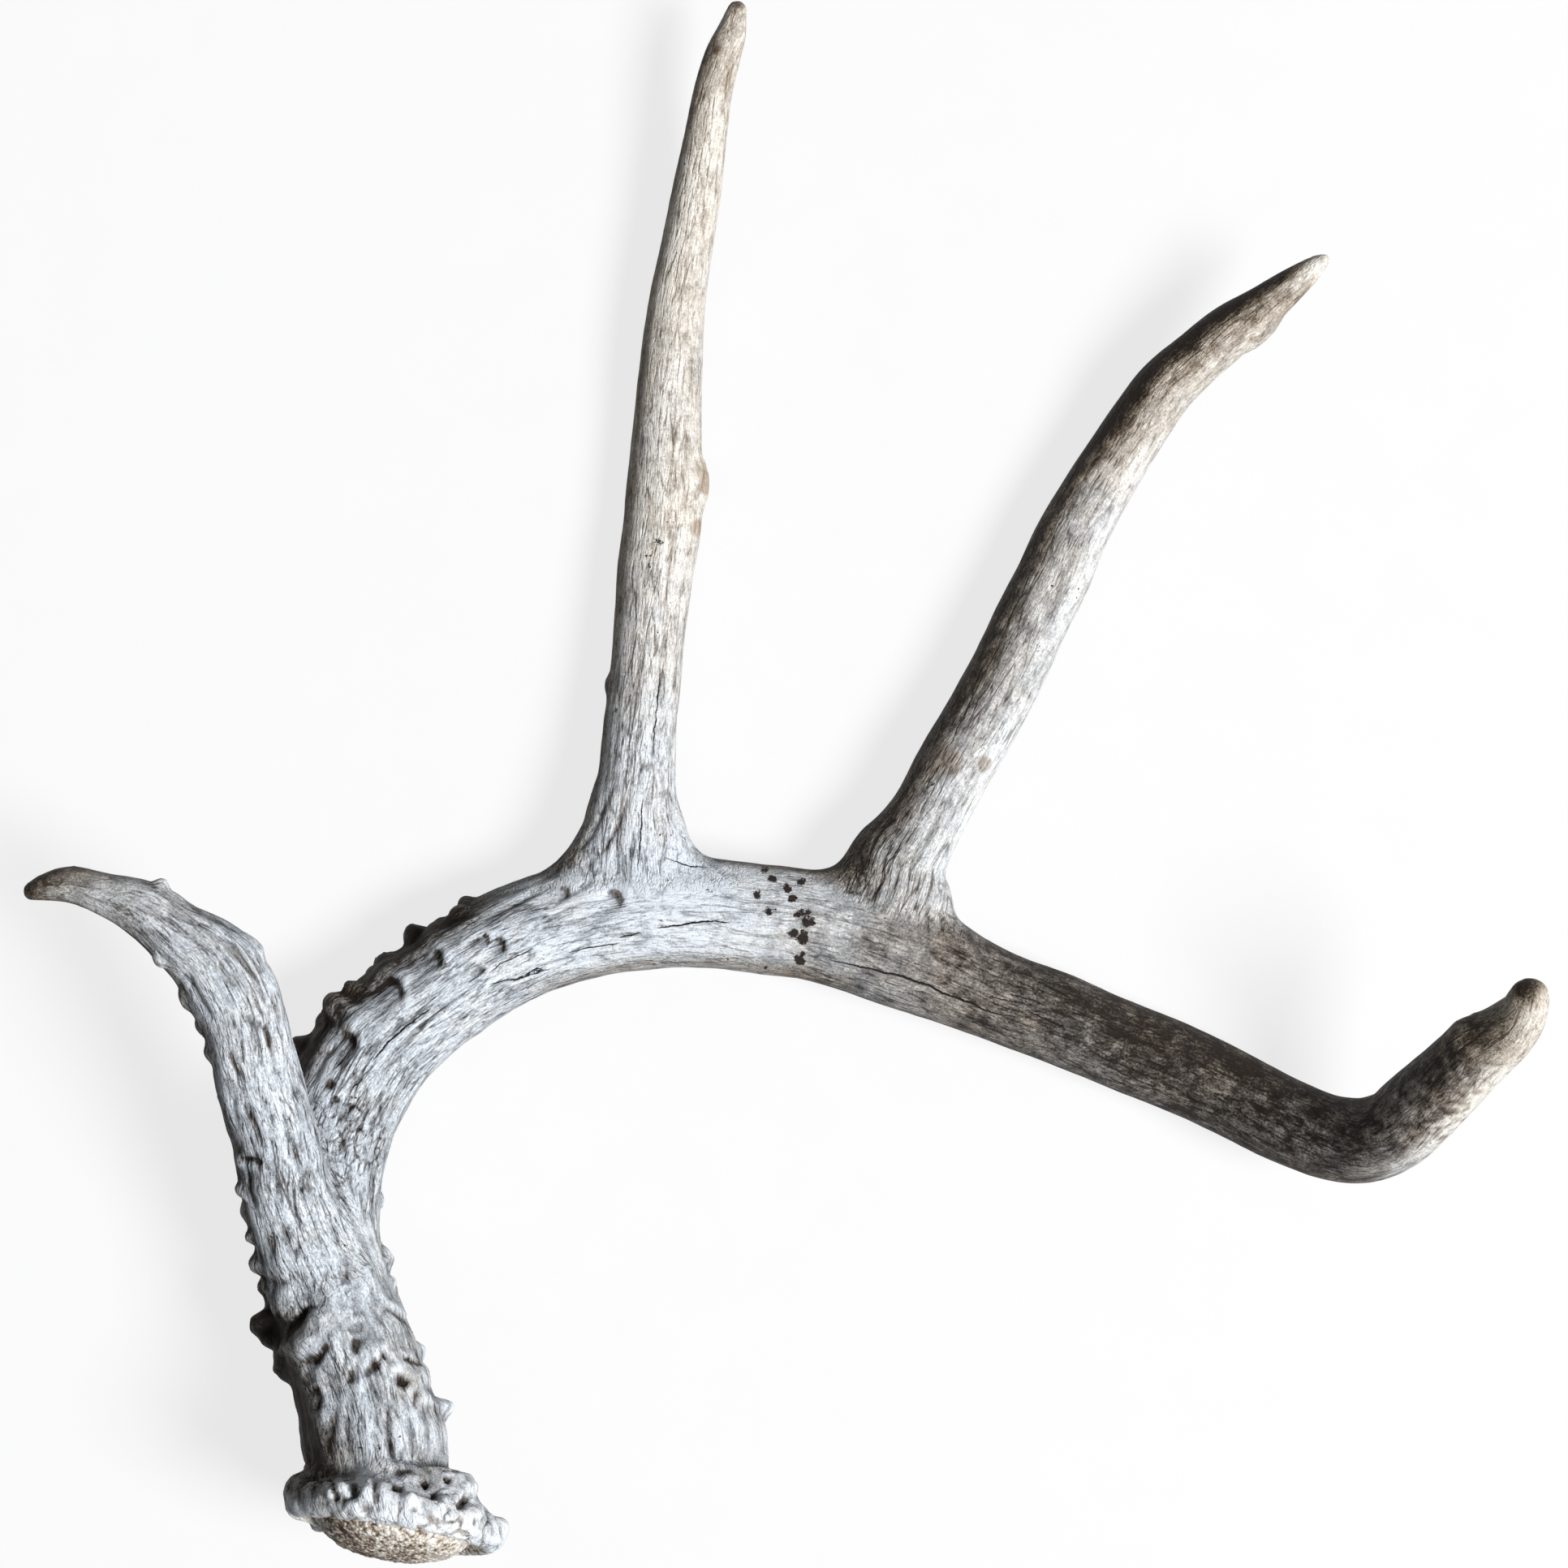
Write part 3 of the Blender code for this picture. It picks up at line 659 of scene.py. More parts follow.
# %% [markdown]
# ## Knobs, pearls and hollows
#
# The large knobs stand where the photograph shows them, and fields of small ones
# fill the rough sides. Nearly all of them are in the solids too, from the same
# numbers, and a few low swellings of the coronet and the beam's tip are only here.
# The specks give each one a ragged edge.

# %% Where the knobs are
SEED = 11

# A knob is (x, y, radius, height) in the picture, and a hollow has a height below 0.
KNOBS = [
    (-129.2, -133.4, 4.8, 5.0),
    (-130.4, -118.6, 3.8, 2.6),
    (-128.8, -123.6, 2.8, 1.6),
    (-131.0, -111.6, 2.6, 1.8),
    (-126.0, -137.0, 3.4, 1.6),
    (-123.0, -144.6, 3.6, 1.8),
    (-83.0, -153.4, 3.6, 3.6),
    (-119.0, -172.0, 9.0, 3.0),
    (-79.5, -172.0, 8.0, 2.6),
    (166.0, -60.4, 6.4, 1.1),
    (180.4, -50.8, 5.4, 0.9),
    (-119.0, -64.4, 3.2, 3.4),
    (-109.6, -54.8, 5.2, 4.2),
    (-105.8, -50.6, 3.0, 2.4),
    (-91.0, -36.8, 4.0, 3.6),
    (-78.2, -29.4, 3.0, 2.0),
    (143.0, -78.0, 5.0, -0.8),
    (-133.4, -99.8, 3.0, 1.6),
    (-134.0, -93.0, 2.6, 1.0),
    (-142.4, -66.2, 3.2, 1.2),
    (-148.0, -54.2, 3.8, 1.6),
    (-145.4, -60.6, 2.8, 1.2),
    (-153.8, -43.4, 3.0, 1.4),
    (-153.2, -25.2, 3.0, 1.8),
    (-130.4, -39.4, 6.0, 1.4),
    (-18.8, 73.6, 8.0, 1.5),
    (-43.4, 24.4, 3.6, 0.9),
    (-10.0, 191.0, 2.4, 0.6),
    (118.4, 110.6, 7.5, 1.3),
    (48.8, 4.2, 3.0, 0.5),
]

# Fields: branch, from and to along it, from and to round it in degrees, count,
# largest radius and height. Round a branch, 0 faces up and 90 is to its right.
PEARL_FIELDS = [
    ("beam", 32.0, 84.0, 100.0, 290.0, 42, 4.4, 2.2),
    ("beam", 20.0, 64.0, 62.0, 120.0, 9, 3.4, 1.5),
    ("beam", 84.0, 165.0, 200.0, 290.0, 26, 4.0, 2.2),
    ("brow_tine", 12.0, 70.0, 190.0, 290.0, 16, 3.4, 1.6),
]
# Each draws its size and height as shares of the largest. A share of them are
# hollows, which sink by a part of that height.
PEARL_SIZES, PEARL_HEIGHTS = (0.6, 1.0), (0.5, 1.0)
PIT_SHARE = 0.25
PIT_RISE = -0.5
# The knobs round the rim draw a radius and a height in millimetres. They stand
# unevenly, by shares of a step round the rim and by millimetres up the axis.
RIM_KNOBS = 19
RIM_SIZES, RIM_HEIGHTS = (2.8, 4.2), (0.6, 2.6)
UNEVEN_ROUND, UNEVEN_UP = (-0.3, 0.3), (-0.8, 0.8)
# A row of the rim is (place up the coronet's axis, how far its knobs lean that way).
RIM_ROWS = [(2.2, 0.0), (7.0, 0.55)]
RIM_SLOPE = 2.5
# The rim is worn at one place: (across, forward, radius, depth).
RIM_WEAR = (-24.0, -6.0, 9.0, 4.0)
# On its left the knobs keep only this share of their height.
LEFT_HEIGHT = 0.3
# Points that do not face up count as this much further off.
FACES_AWAY = 100.0


def seen_from_above(places):
    """Where points show in the picture, in millimetres from its middle."""
    return places[:, :2] / nearer_by(places[:, 2:3])


def skin_under(x, y, least=0.15, within=1.5):
    """The number of the upper skin's point that shows at this place."""
    far = ((picture - (x, y)) ** 2).sum(axis=1) + FACES_AWAY * (plain_normals[:, 2] < least)
    near = np.flatnonzero(far < within)
    return int(near[plain[near, 2].argmax()]) if len(near) else int(far.argmin())


def drawn_place(dice, branch, low, high, turn_from, turn_to):
    """A random sample along a branch, and a random angle round it."""
    i = int(np.argmin(abs(branch.along - dice.uniform(low, high))))
    return i, math.radians(dice.uniform(turn_from, turn_to))


def pearls(dice):
    """All knobs and hollows as (place, way out, radius, height)."""
    made = []
    for x, y, radius, height in KNOBS:
        at = skin_under(x, y, -0.1, 0)
        made.append((plain[at], plain_normals[at], radius, height))
    for name, low, high, turn_from, turn_to, count, radius, height in PEARL_FIELDS:
        for _ in range(count):
            i, angle = drawn_place(dice, branches[name], low, high, turn_from, turn_to)
            size = dice.uniform(*PEARL_SIZES)
            rise = dice.uniform(*PEARL_HEIGHTS) * height
            if dice.uniform() < PIT_SHARE:
                rise *= PIT_RISE
            made.append((*branches[name].surface(i, angle), radius * size, rise * size))
    return made + rim_pearls(dice)


def rim_pearls(dice):
    """The knobs round the coronet's rim, and its worn lower left side."""
    rim = max(radius for _, radius in CORONET_PROFILE)
    made = []
    for row, lean in RIM_ROWS:
        for number in range(RIM_KNOBS):
            angle = 2 * math.pi * (number + dice.uniform(*UNEVEN_ROUND)) / RIM_KNOBS
            out = base_right * math.cos(angle) + base_front * math.sin(angle)
            up = base_axis * (row + dice.uniform(*UNEVEN_UP))
            place = base + out * (rim - RIM_SLOPE * lean) + up
            way = unit(out + base_axis * lean)
            size, rise = dice.uniform(*RIM_SIZES), dice.uniform(*RIM_HEIGHTS)
            on_left = out[0] < -0.5
            made.append((place, way, size, rise * (LEFT_HEIGHT if on_left else 1.0)))
    across, forward, radius, depth = RIM_WEAR
    worn = base_right * across + base_front * forward
    made.append((base + worn, unit(worn), radius, -depth))
    return made


# %% [markdown]
# A knob could be a bead that is stuck on, but real pearls grow out of the bone with
# no seam. So every point near a knob's middle is pushed out instead, most in the
# middle and less and less further off. Shallow flutes down the beam come first.

# %% Raising the knobs
# Ragged edges are specks of two kinds, each with its (cell size, seed).
FINE_RAG, BROAD_RAG = (1.7, 21), (3.4, 22)
FLUTES = 9
FLUTE_DEPTH = 0.35
FLUTE_REACH = 230.0
FLUTE_TWIST = 0.03
RAGGED = 0.2
KNOB_TIGHTNESS = 1.45
KNOB_EDGE = 1.9
CORONET_TOP = 14
FACE_REACH = 26

plain = points.copy()
picture = seen_from_above(plain)
own_beam = tine_share < 0.5
turn = np.arctan2(on_beam[:, 0], on_beam[:, 1])
# The flutes and lines along the beam stop at the cast face.
faces_out = -(plain_normals @ base_axis)
on_face = soft_step(faces_out, -0.1, 0.25) * (up_base < CORONET_TOP) * (out_base < FACE_REACH)
on_face = even_out(on_face, 3)
fade = np.clip((FLUTE_REACH - on_beam[:, 2]) / FLUTE_REACH, 0, 1) * own_beam * (1 - on_face)
flutes = np.sin(turn * FLUTES + FLUTE_TWIST * on_beam[:, 2]) * FLUTE_DEPTH * even_out(fade, 4)
points += plain_normals * flutes[:, None]
ragged = 1 + RAGGED * specks(points, *FINE_RAG) + RAGGED * specks(points, *BROAD_RAG)
for place, way, radius, height in pearls(np.random.default_rng(SEED)):
    far = np.linalg.norm(points - place, axis=1) / radius
    close = far < KNOB_EDGE
    rise = height * np.exp(-((KNOB_TIGHTNESS * far[close] * ragged[close]) ** 3))
    points[close] += rise[:, None] * way
print(f"knobs raised; highest {np.linalg.norm(points - plain, axis=1).max():.1f} mm")

# %% [markdown]
# ## Furrows, pits and cracks
#
# The furrows come from the long streaks, deep on the lower beam and fine on the
# tines. Sharper creases and low lumps lie among them. All are real relief, because
# a bump in the paint would leave the outline of the lower beam too smooth.

# %% How deep the bark is along each branch
# Each list is of (distance along the branch, depth), in millimetres.
CREASES = {
    "beam": [
        (-8, 0.0), (2, 0.05), (14, 0.1), (70, 0.2), (95, 0.3),
        (130, 0.16), (200, 0.05), (250, 0.0), (455, 0.0),
    ],
    "brow_tine": [(0, 0.15), (60, 0.22), (110, 0.12), (140, 0.0)],
    "second_tine": [(0, 0.1), (30, 0.1), (70, 0.0), (221, 0.0)],
    "third_tine": [(0, 0.0), (198, 0.0)],
}
FURROW_DEPTH = {
    "beam": [
        (-8, 0.0), (4, 0.16), (14, 0.18), (60, 0.2), (100, 0.26), (160, 0.24),
        (200, 0.12), (270, 0.06), (340, 0.08), (410, 0.07), (450, 0.02),
    ],
    "brow_tine": [(0, 0.24), (30, 0.27), (90, 0.27), (125, 0.2), (150, 0.05)],
    "second_tine": [(0, 0.22), (30, 0.24), (60, 0.16), (150, 0.08), (215, 0.03)],
    "third_tine": [(0, 0.2), (30, 0.16), (80, 0.08), (190, 0.03)],
}
LUMPS = {
    "beam": [(-8, 0.1), (14, 0.7), (70, 0.7), (110, 0.35), (200, 0.18), (455, 0.12)],
    "brow_tine": [(0, 0.7), (110, 0.4), (150, 0.1)],
    "second_tine": [(0, 0.3), (60, 0.14), (221, 0.08)],
    "third_tine": [(0, 0.2), (60, 0.14), (198, 0.06)],
}
CREASE_WIDTH = 0.34
CREASE_MIDDLE = 0.25
STREAK_GAIN = 0.9
# The (cell size, seed) of the specks that make each of them uneven.
UNEVEN_DEPTH, UNEVEN_CREASE = (7.0, 33), (5.0, 34)
BROAD_LUMPS, SMALL_LUMPS = (7.5, 31), (3.2, 32)

clear = (1 - 0.8 * neutral) * (1 - on_face)
furrow, groove, fibre = [np.tanh(STREAK_GAIN * streaks[kind]) for kind in ("furrow", "groove", "fibre")]
here_and_there = 0.55 + 0.45 * specks(points, *UNEVEN_DEPTH)
crease = np.exp(-((streaks["crag"] / CREASE_WIDTH) ** 2))
crease *= 0.5 + 0.5 * specks(points, *UNEVEN_CREASE)
crease *= 1 - on_face
furrows = along_values(FURROW_DEPTH) * clear
relief = furrows * here_and_there * (0.8 * furrow + 0.6 * groove + 0.3 * fibre)
relief -= along_values(CREASES) * (crease - CREASE_MIDDLE)
relief += along_values(LUMPS) * (0.7 * specks(points, *BROAD_LUMPS) + 0.35 * specks(points, *SMALL_LUMPS))
points += plain_normals * relief[:, None]
print("furrows from", relief.min().round(2), "to", relief.max().round(2), "mm")

# %% [markdown]
# Vessels went into the bone at a slant, and each left a pit that starts shallow and
# ends in a steep lip, with painted shade at the brink before it. A few stand where
# the photograph shows them, as seen from above, and more are drawn at random. Each
# is sunk along its own line.

# %% Pits, from their shallow start to their steep end
# A pit is (start x, start y, end x, end y, half width, depth) in the picture.
PITS = [
    (-80.6, -40.6, -73.6, -36.4, 1.3, 0.8),
    (-76.6, -42.4, -68.8, -37.6, 1.9, 1.2),
    (-96.0, -47.0, -85.0, -41.2, 2.2, 1.3),
    (-104.8, -57.4, -96.2, -48.0, 3.0, 1.4),
    (-114.8, -70.6, -107.6, -61.4, 2.6, 1.3),
    (-78.4, -49.4, -74.0, -46.4, 1.0, 0.5),
    (-50.6, -33.8, -41.0, -26.2, 2.2, 1.0),
    (-62.0, -31.0, -53.6, -24.6, 1.6, 0.7),
    (-116.4, -79.6, -112.6, -72.4, 1.5, 1.0),
    (-113.6, -82.4, -110.6, -76.4, 1.1, 0.8),
    (-108.8, -84.6, -106.0, -79.2, 1.2, 0.6),
    (-104.4, -90.2, -103.4, -84.8, 1.0, 0.5),
]
# Fields: as for the pearls, but with the longest length, half width and depth.
PIT_FIELDS = [
    ("beam", 18.0, 100.0, -180.0, 180.0, 26, 5.0, 0.7, 0.5),
    ("beam", 100.0, 210.0, -180.0, 180.0, 50, 5.0, 0.7, 0.4),
    ("brow_tine", 10.0, 125.0, -180.0, 180.0, 26, 4.0, 0.6, 0.3),
    ("second_tine", 15.0, 75.0, -180.0, 180.0, 14, 4.0, 0.6, 0.25),
]
# Along a scoop, from 0 to 1: its floor, its end, and (middle, half width) of the lip
# beyond the end and of the painted shade at the brink before it.
SCOOP_FLOOR, SCOOP_END = (0, 0.8), (0.92, 1.08)
LIP, BRINK = (1.15, 0.14), (0.97, 0.09)
LIP_SHARE = 0.4
# A scattered scoop draws its length and size as shares of the largest.
PIT_LENGTHS, PIT_SIZES = (0.4, 1.0), (0.5, 1.0)
# How dark the painted shade at a brink can be.
DARKEST_BRINK_SHADE = 0.8


def dig(start, end, width, depth):
    """Sinks a scoop that deepens from its start and ends in a steep, round lip, and marks painted shade at
    the brink before that end.
    """
    way = end - start
    length = np.linalg.norm(way)
    close = np.flatnonzero(((plain - start) ** 2).sum(axis=1) < (1.6 * length + 3) ** 2)
    ahead = (plain[close] - start) @ (way / length) / length
    aside = np.linalg.norm(plain[close] - start - np.outer(ahead, way), axis=1) / width
    ahead = ahead + 0.1 * aside**2 * min(1.0, 3 * width / length)
    shape = soft_step(ahead, *SCOOP_FLOOR) * (1 - soft_step(ahead, *SCOOP_END))
    sink = depth * shape * np.exp(-(aside**4) / 3)
    lip = LIP_SHARE * depth * np.exp(-(((ahead - LIP[0]) / LIP[1]) ** 2) - (aside / 1.3) ** 2)
    points[close] -= plain_normals[close] * (sink - lip)[:, None]
    # The brink before the steep end is marked for painted shade.
    brink = np.exp(-(((ahead - BRINK[0]) / BRINK[1]) ** 2) - aside**4 / 3)
    brink_shade[close] += min(DARKEST_BRINK_SHADE, depth) * brink


brink_shade = np.zeros(len(points))
for x0, y0, x1, y1, width, deep in PITS:
    dig(plain[skin_under(x0, y0)], plain[skin_under(x1, y1)], width, deep)
dice = np.random.default_rng(SEED + 1)
for name, low, high, turn_from, turn_to, count, length, width, deep in PIT_FIELDS:
    branch = branches[name]
    for _ in range(count):
        i, angle = drawn_place(dice, branch, low, high, turn_from, turn_to)
        spot, _ = branch.surface(i, angle)
        way = branch.tangent[i] * length * dice.uniform(*PIT_LENGTHS)
        size = dice.uniform(*PIT_SIZES)
        dig(spot, spot + way, width * size, deep * size)
print("points at a pit's brink:", int((brink_shade > 0.2).sum()))

# %% [markdown]
# The face of the coronet is where the antler let go of the skull. It is rough,
# grainy bone, so it gets grains instead of furrows: small domes round scattered
# middles. The rim above it gets deep pits between its knobs, by the same means.

# %% Distance to scattered middles
def nearest_grain(places, size, seed):
    """Distance to the nearest of many scattered middles, in cell sizes."""
    dice = np.random.default_rng(seed)
    middles = dice.uniform(0, 1, (LATTICE**3, 3))
    grid = places / size + LATTICE
    low = np.floor(grid).astype(int)
    best = np.full(len(places), 9.0)
    for shift in np.ndindex(3, 3, 3):
        cell = low + shift - 1
        row = ((cell[:, 0] % LATTICE) * LATTICE + cell[:, 1] % LATTICE) * LATTICE
        far = np.linalg.norm(cell + middles[row + cell[:, 2] % LATTICE] - grid, axis=1)
        np.minimum(best, far, out=best)
    return best


print("nearest middle to the base, in cells:", nearest_grain(base[None, :], 1.0, SEED).round(2))

# %% Grains on the cast face, pits in the rim and a netted patch
CORONET_REACH = 32
FACE_EDGE = (22.0, 24.0)
RIM_INNER_EDGE = (18.5, 21.5)
RIM_UPPER_EDGE = (9.5, 13.5)
GRAIN_HEIGHT = 0.8
# The (cell size, seed) of the grains, the cells and each kind of specks.
FACE_GRAINS, NET_CELLS, UNEVEN_NET = (1.9, 41), (2.2, 43), (2.6, 47)
BROAD_LOBES, SMALL_LOBES, UNEVEN_HOLES = (5.2, 44), (2.6, 45), (6.0, 46)
LOBE_STRETCH = 0.72
LOBE_HEIGHT = 0.7
LOBE_DEPTH = 1.5
# The netted patch is (x, y, radius) in the picture.
NET_PATCH = (-109.0, -88.0, 10.5)
NET_DEPTH = 0.5

near_base = (up_base < CORONET_TOP) & (out_base < CORONET_REACH)
cast_face = soft_step(faces_out, -0.05, 0.3) * (1 - soft_step(out_base, *FACE_EDGE))
cast_face = even_out(cast_face * near_base, 1)
rim = soft_step(out_base, *RIM_INNER_EDGE) * near_base * (1 - cast_face)
rim *= 1 - soft_step(up_base, *RIM_UPPER_EDGE)
grains = np.zeros(len(points))
some = np.flatnonzero(cast_face > 0.01)
grains[some] = 0.5 - nearest_grain(points[some], *FACE_GRAINS)
# The rim's lobes stand side by side, so their cells are long along the axis.
squeezed = points - np.outer(up_base, base_axis) * LOBE_STRETCH
lobes = specks(squeezed, *BROAD_LOBES) + 0.5 * specks(points, *SMALL_LOBES)
holes = np.exp(-((lobes / 0.13) ** 2)) * (0.6 + 0.4 * specks(points, *UNEVEN_HOLES))
net = np.exp(-(((picture - NET_PATCH[:2]) ** 2).sum(axis=1)) / NET_PATCH[2] ** 2)
net *= own_beam * (plain_normals[:, 2] > 0)
some = np.flatnonzero(net > 0.05)
cells = np.zeros(len(points))
cells[some] = 0.5 - nearest_grain(on_beam[some] * (1.0, 1.0, 0.6), *NET_CELLS)
uneven = np.clip(0.3 + 0.4 * specks(plain, *UNEVEN_NET), 0.05, 0.7)
hole_in_net = net * soft_step(cells, -0.1, 0.4) * uneven
# The rim is gentler where it faces up, and worn nearly smooth on its left.
faces_up = soft_step(plain_normals[:, 2], 0.1, 0.4)
holes *= 1 - 0.55 * faces_up
smooth_left = 1 - 0.75 * soft_step(-from_base[:, 0], 12, 20)
lobed = LOBE_HEIGHT * abs(lobes) * (1 - 0.5 * faces_up) - LOBE_DEPTH * holes
extra = cast_face * grains * GRAIN_HEIGHT + rim * smooth_left * lobed - hole_in_net * NET_DEPTH
points += plain_normals * extra[:, None]
print("grains on", int((cast_face > 0.5).sum()), "points; rim", int((rim > 0.5).sum()))

# %% [markdown]
# Bone splits along its grain as it dries. A crack is far narrower than the cells
# of the skin, so the skin keeps two numbers for it: the signed distance to the
# crack's line and how wide it gapes there. The paint draws a sharp line from them.

# %% Cracks of the upper side
# A crack is (half width, points of its line), in the picture.
CRACKS = [
    (0.16, [(-106.4, -75.0), (-103.8, -72.6)]),
    (0.16, [(-101.8, -68.8), (-99.6, -66.2), (-96.6, -62.8), (-93.8, -60.4), (-89.2, -56.8), (-86.6, -54.8)]),
    (0.08, [(-73.2, -46.8), (-69.8, -44.2), (-65.2, -42.2), (-61.8, -40.4)]),
    (0.12, [(-68.2, -48.8), (-65.2, -47.8), (-61.2, -45.8), (-59.2, -45.4)]),
    (0.09, [(-53.2, -41.8), (-49.8, -40.8), (-45.2, -39.8), (-40.6, -39.2)]),
    (0.12, [(-40.6, -37.8), (-38.0, -37.2), (-35.2, -36.8)]),
    (0.17, [(-31.8, -35.4), (-26.6, -34.8), (-22.6, -34.2), (-17.8, -33.8), (-13.2, -34.2)]),
    (0.08, [(-30.0, -18.0), (-24.0, -20.0), (-18.0, -20.6)]),
    (0.10, [(-73.2, -49.4), (-66.6, -48.2), (-61.2, -46.8), (-57.2, -45.4)]),
    (
        0.20,
        [
            (10.2, -43.4), (14.8, -44.2), (18.8, -45.0), (23.4, -46.2), (28.2, -47.2),
            (32.2, -48.6), (36.2, -49.8), (38.8, -51.4), (42.8, -52.8),
            (46.2, -53.8), (49.4, -55.8), (53.4, -56.8), (57.4, -57.6),
        ],
    ),
    (0.18, [(60.2, -56.2), (63.4, -57.4), (66.8, -59.2), (69.8, -60.6)]),
    (0.08, [(49.4, -52.2), (54.8, -53.2), (62.2, -55.0)]),
    (0.09, [(30.8, -10.8), (28.2, -15.8), (23.4, -22.8)]),
    (0.10, [(-34.8, -3.4), (-35.2, -10.2), (-36.2, -21.4)]),
    (0.16, [(126.8, -76.4), (129.0, -76.8)]),
    (0.16, [(155.8, -70.2), (155.2, -72.2)]),
    (0.08, [(-30.2, 30.0), (-31.4, 18.0), (-32.6, 6.0)]),
    (0.07, [(40.0, 8.0), (45.8, 20.0), (50.6, 30.4)]),
]
LINE_REACH = 2.0
LINE_MARGIN = 3
SPLIT_DEPTH = 0.9
SPLIT_WIDTH = 0.55
FAR_OFF = 99.0


def from_line(line):
    """Signed distance to a line of the picture, how far along it, and who is near."""
    line = np.array(line)
    near = (picture > line.min(axis=0) - LINE_MARGIN).all(axis=1)
    near &= (picture < line.max(axis=0) + LINE_MARGIN).all(axis=1)
    near = np.flatnonzero(near & (plain_normals[:, 2] > 0.05))
    lengths = np.linalg.norm(np.diff(line, axis=0), axis=1)
    start = np.cumsum(lengths) - lengths
    side, along = np.full(len(near), FAR_OFF), np.zeros(len(near))
    for a, b, length, walked in zip(line, line[1:], lengths, start):
        way, offset = (b - a) / length, picture[near] - a
        ahead = np.clip(offset @ way, 0, length)
        far = np.linalg.norm(offset - ahead[:, None] * way, axis=1)
        left = np.sign(way[0] * offset[:, 1] - way[1] * offset[:, 0])
        closer = far < abs(side)
        side[closer] = (far * left)[closer]
        along[closer] = ((walked + ahead) / lengths.sum())[closer]
    return near, side, along


def tapered(along, power):
    """1 in the middle of a line and 0 at its two ends."""
    return 1 - abs(2 * along - 1) ** power


crack_side, crack_open = np.full(len(points), LINE_REACH), np.zeros(len(points))
for width, line in CRACKS:
    near, side, along = from_line(line)
    taper = width * tapered(along, 3) * (abs(side) < LINE_REACH)
    mine = abs(side) < abs(crack_side[near])
    crack_side[near[mine]], crack_open[near[mine]] = side[mine], taper[mine]
    split = SPLIT_DEPTH * width * tapered(along, 3) * np.exp(-((side / SPLIT_WIDTH) ** 2))
    points[near] -= plain_normals[near] * split[:, None]
print(len(CRACKS), "cracks on", int((crack_open > 0).sum()), "points")
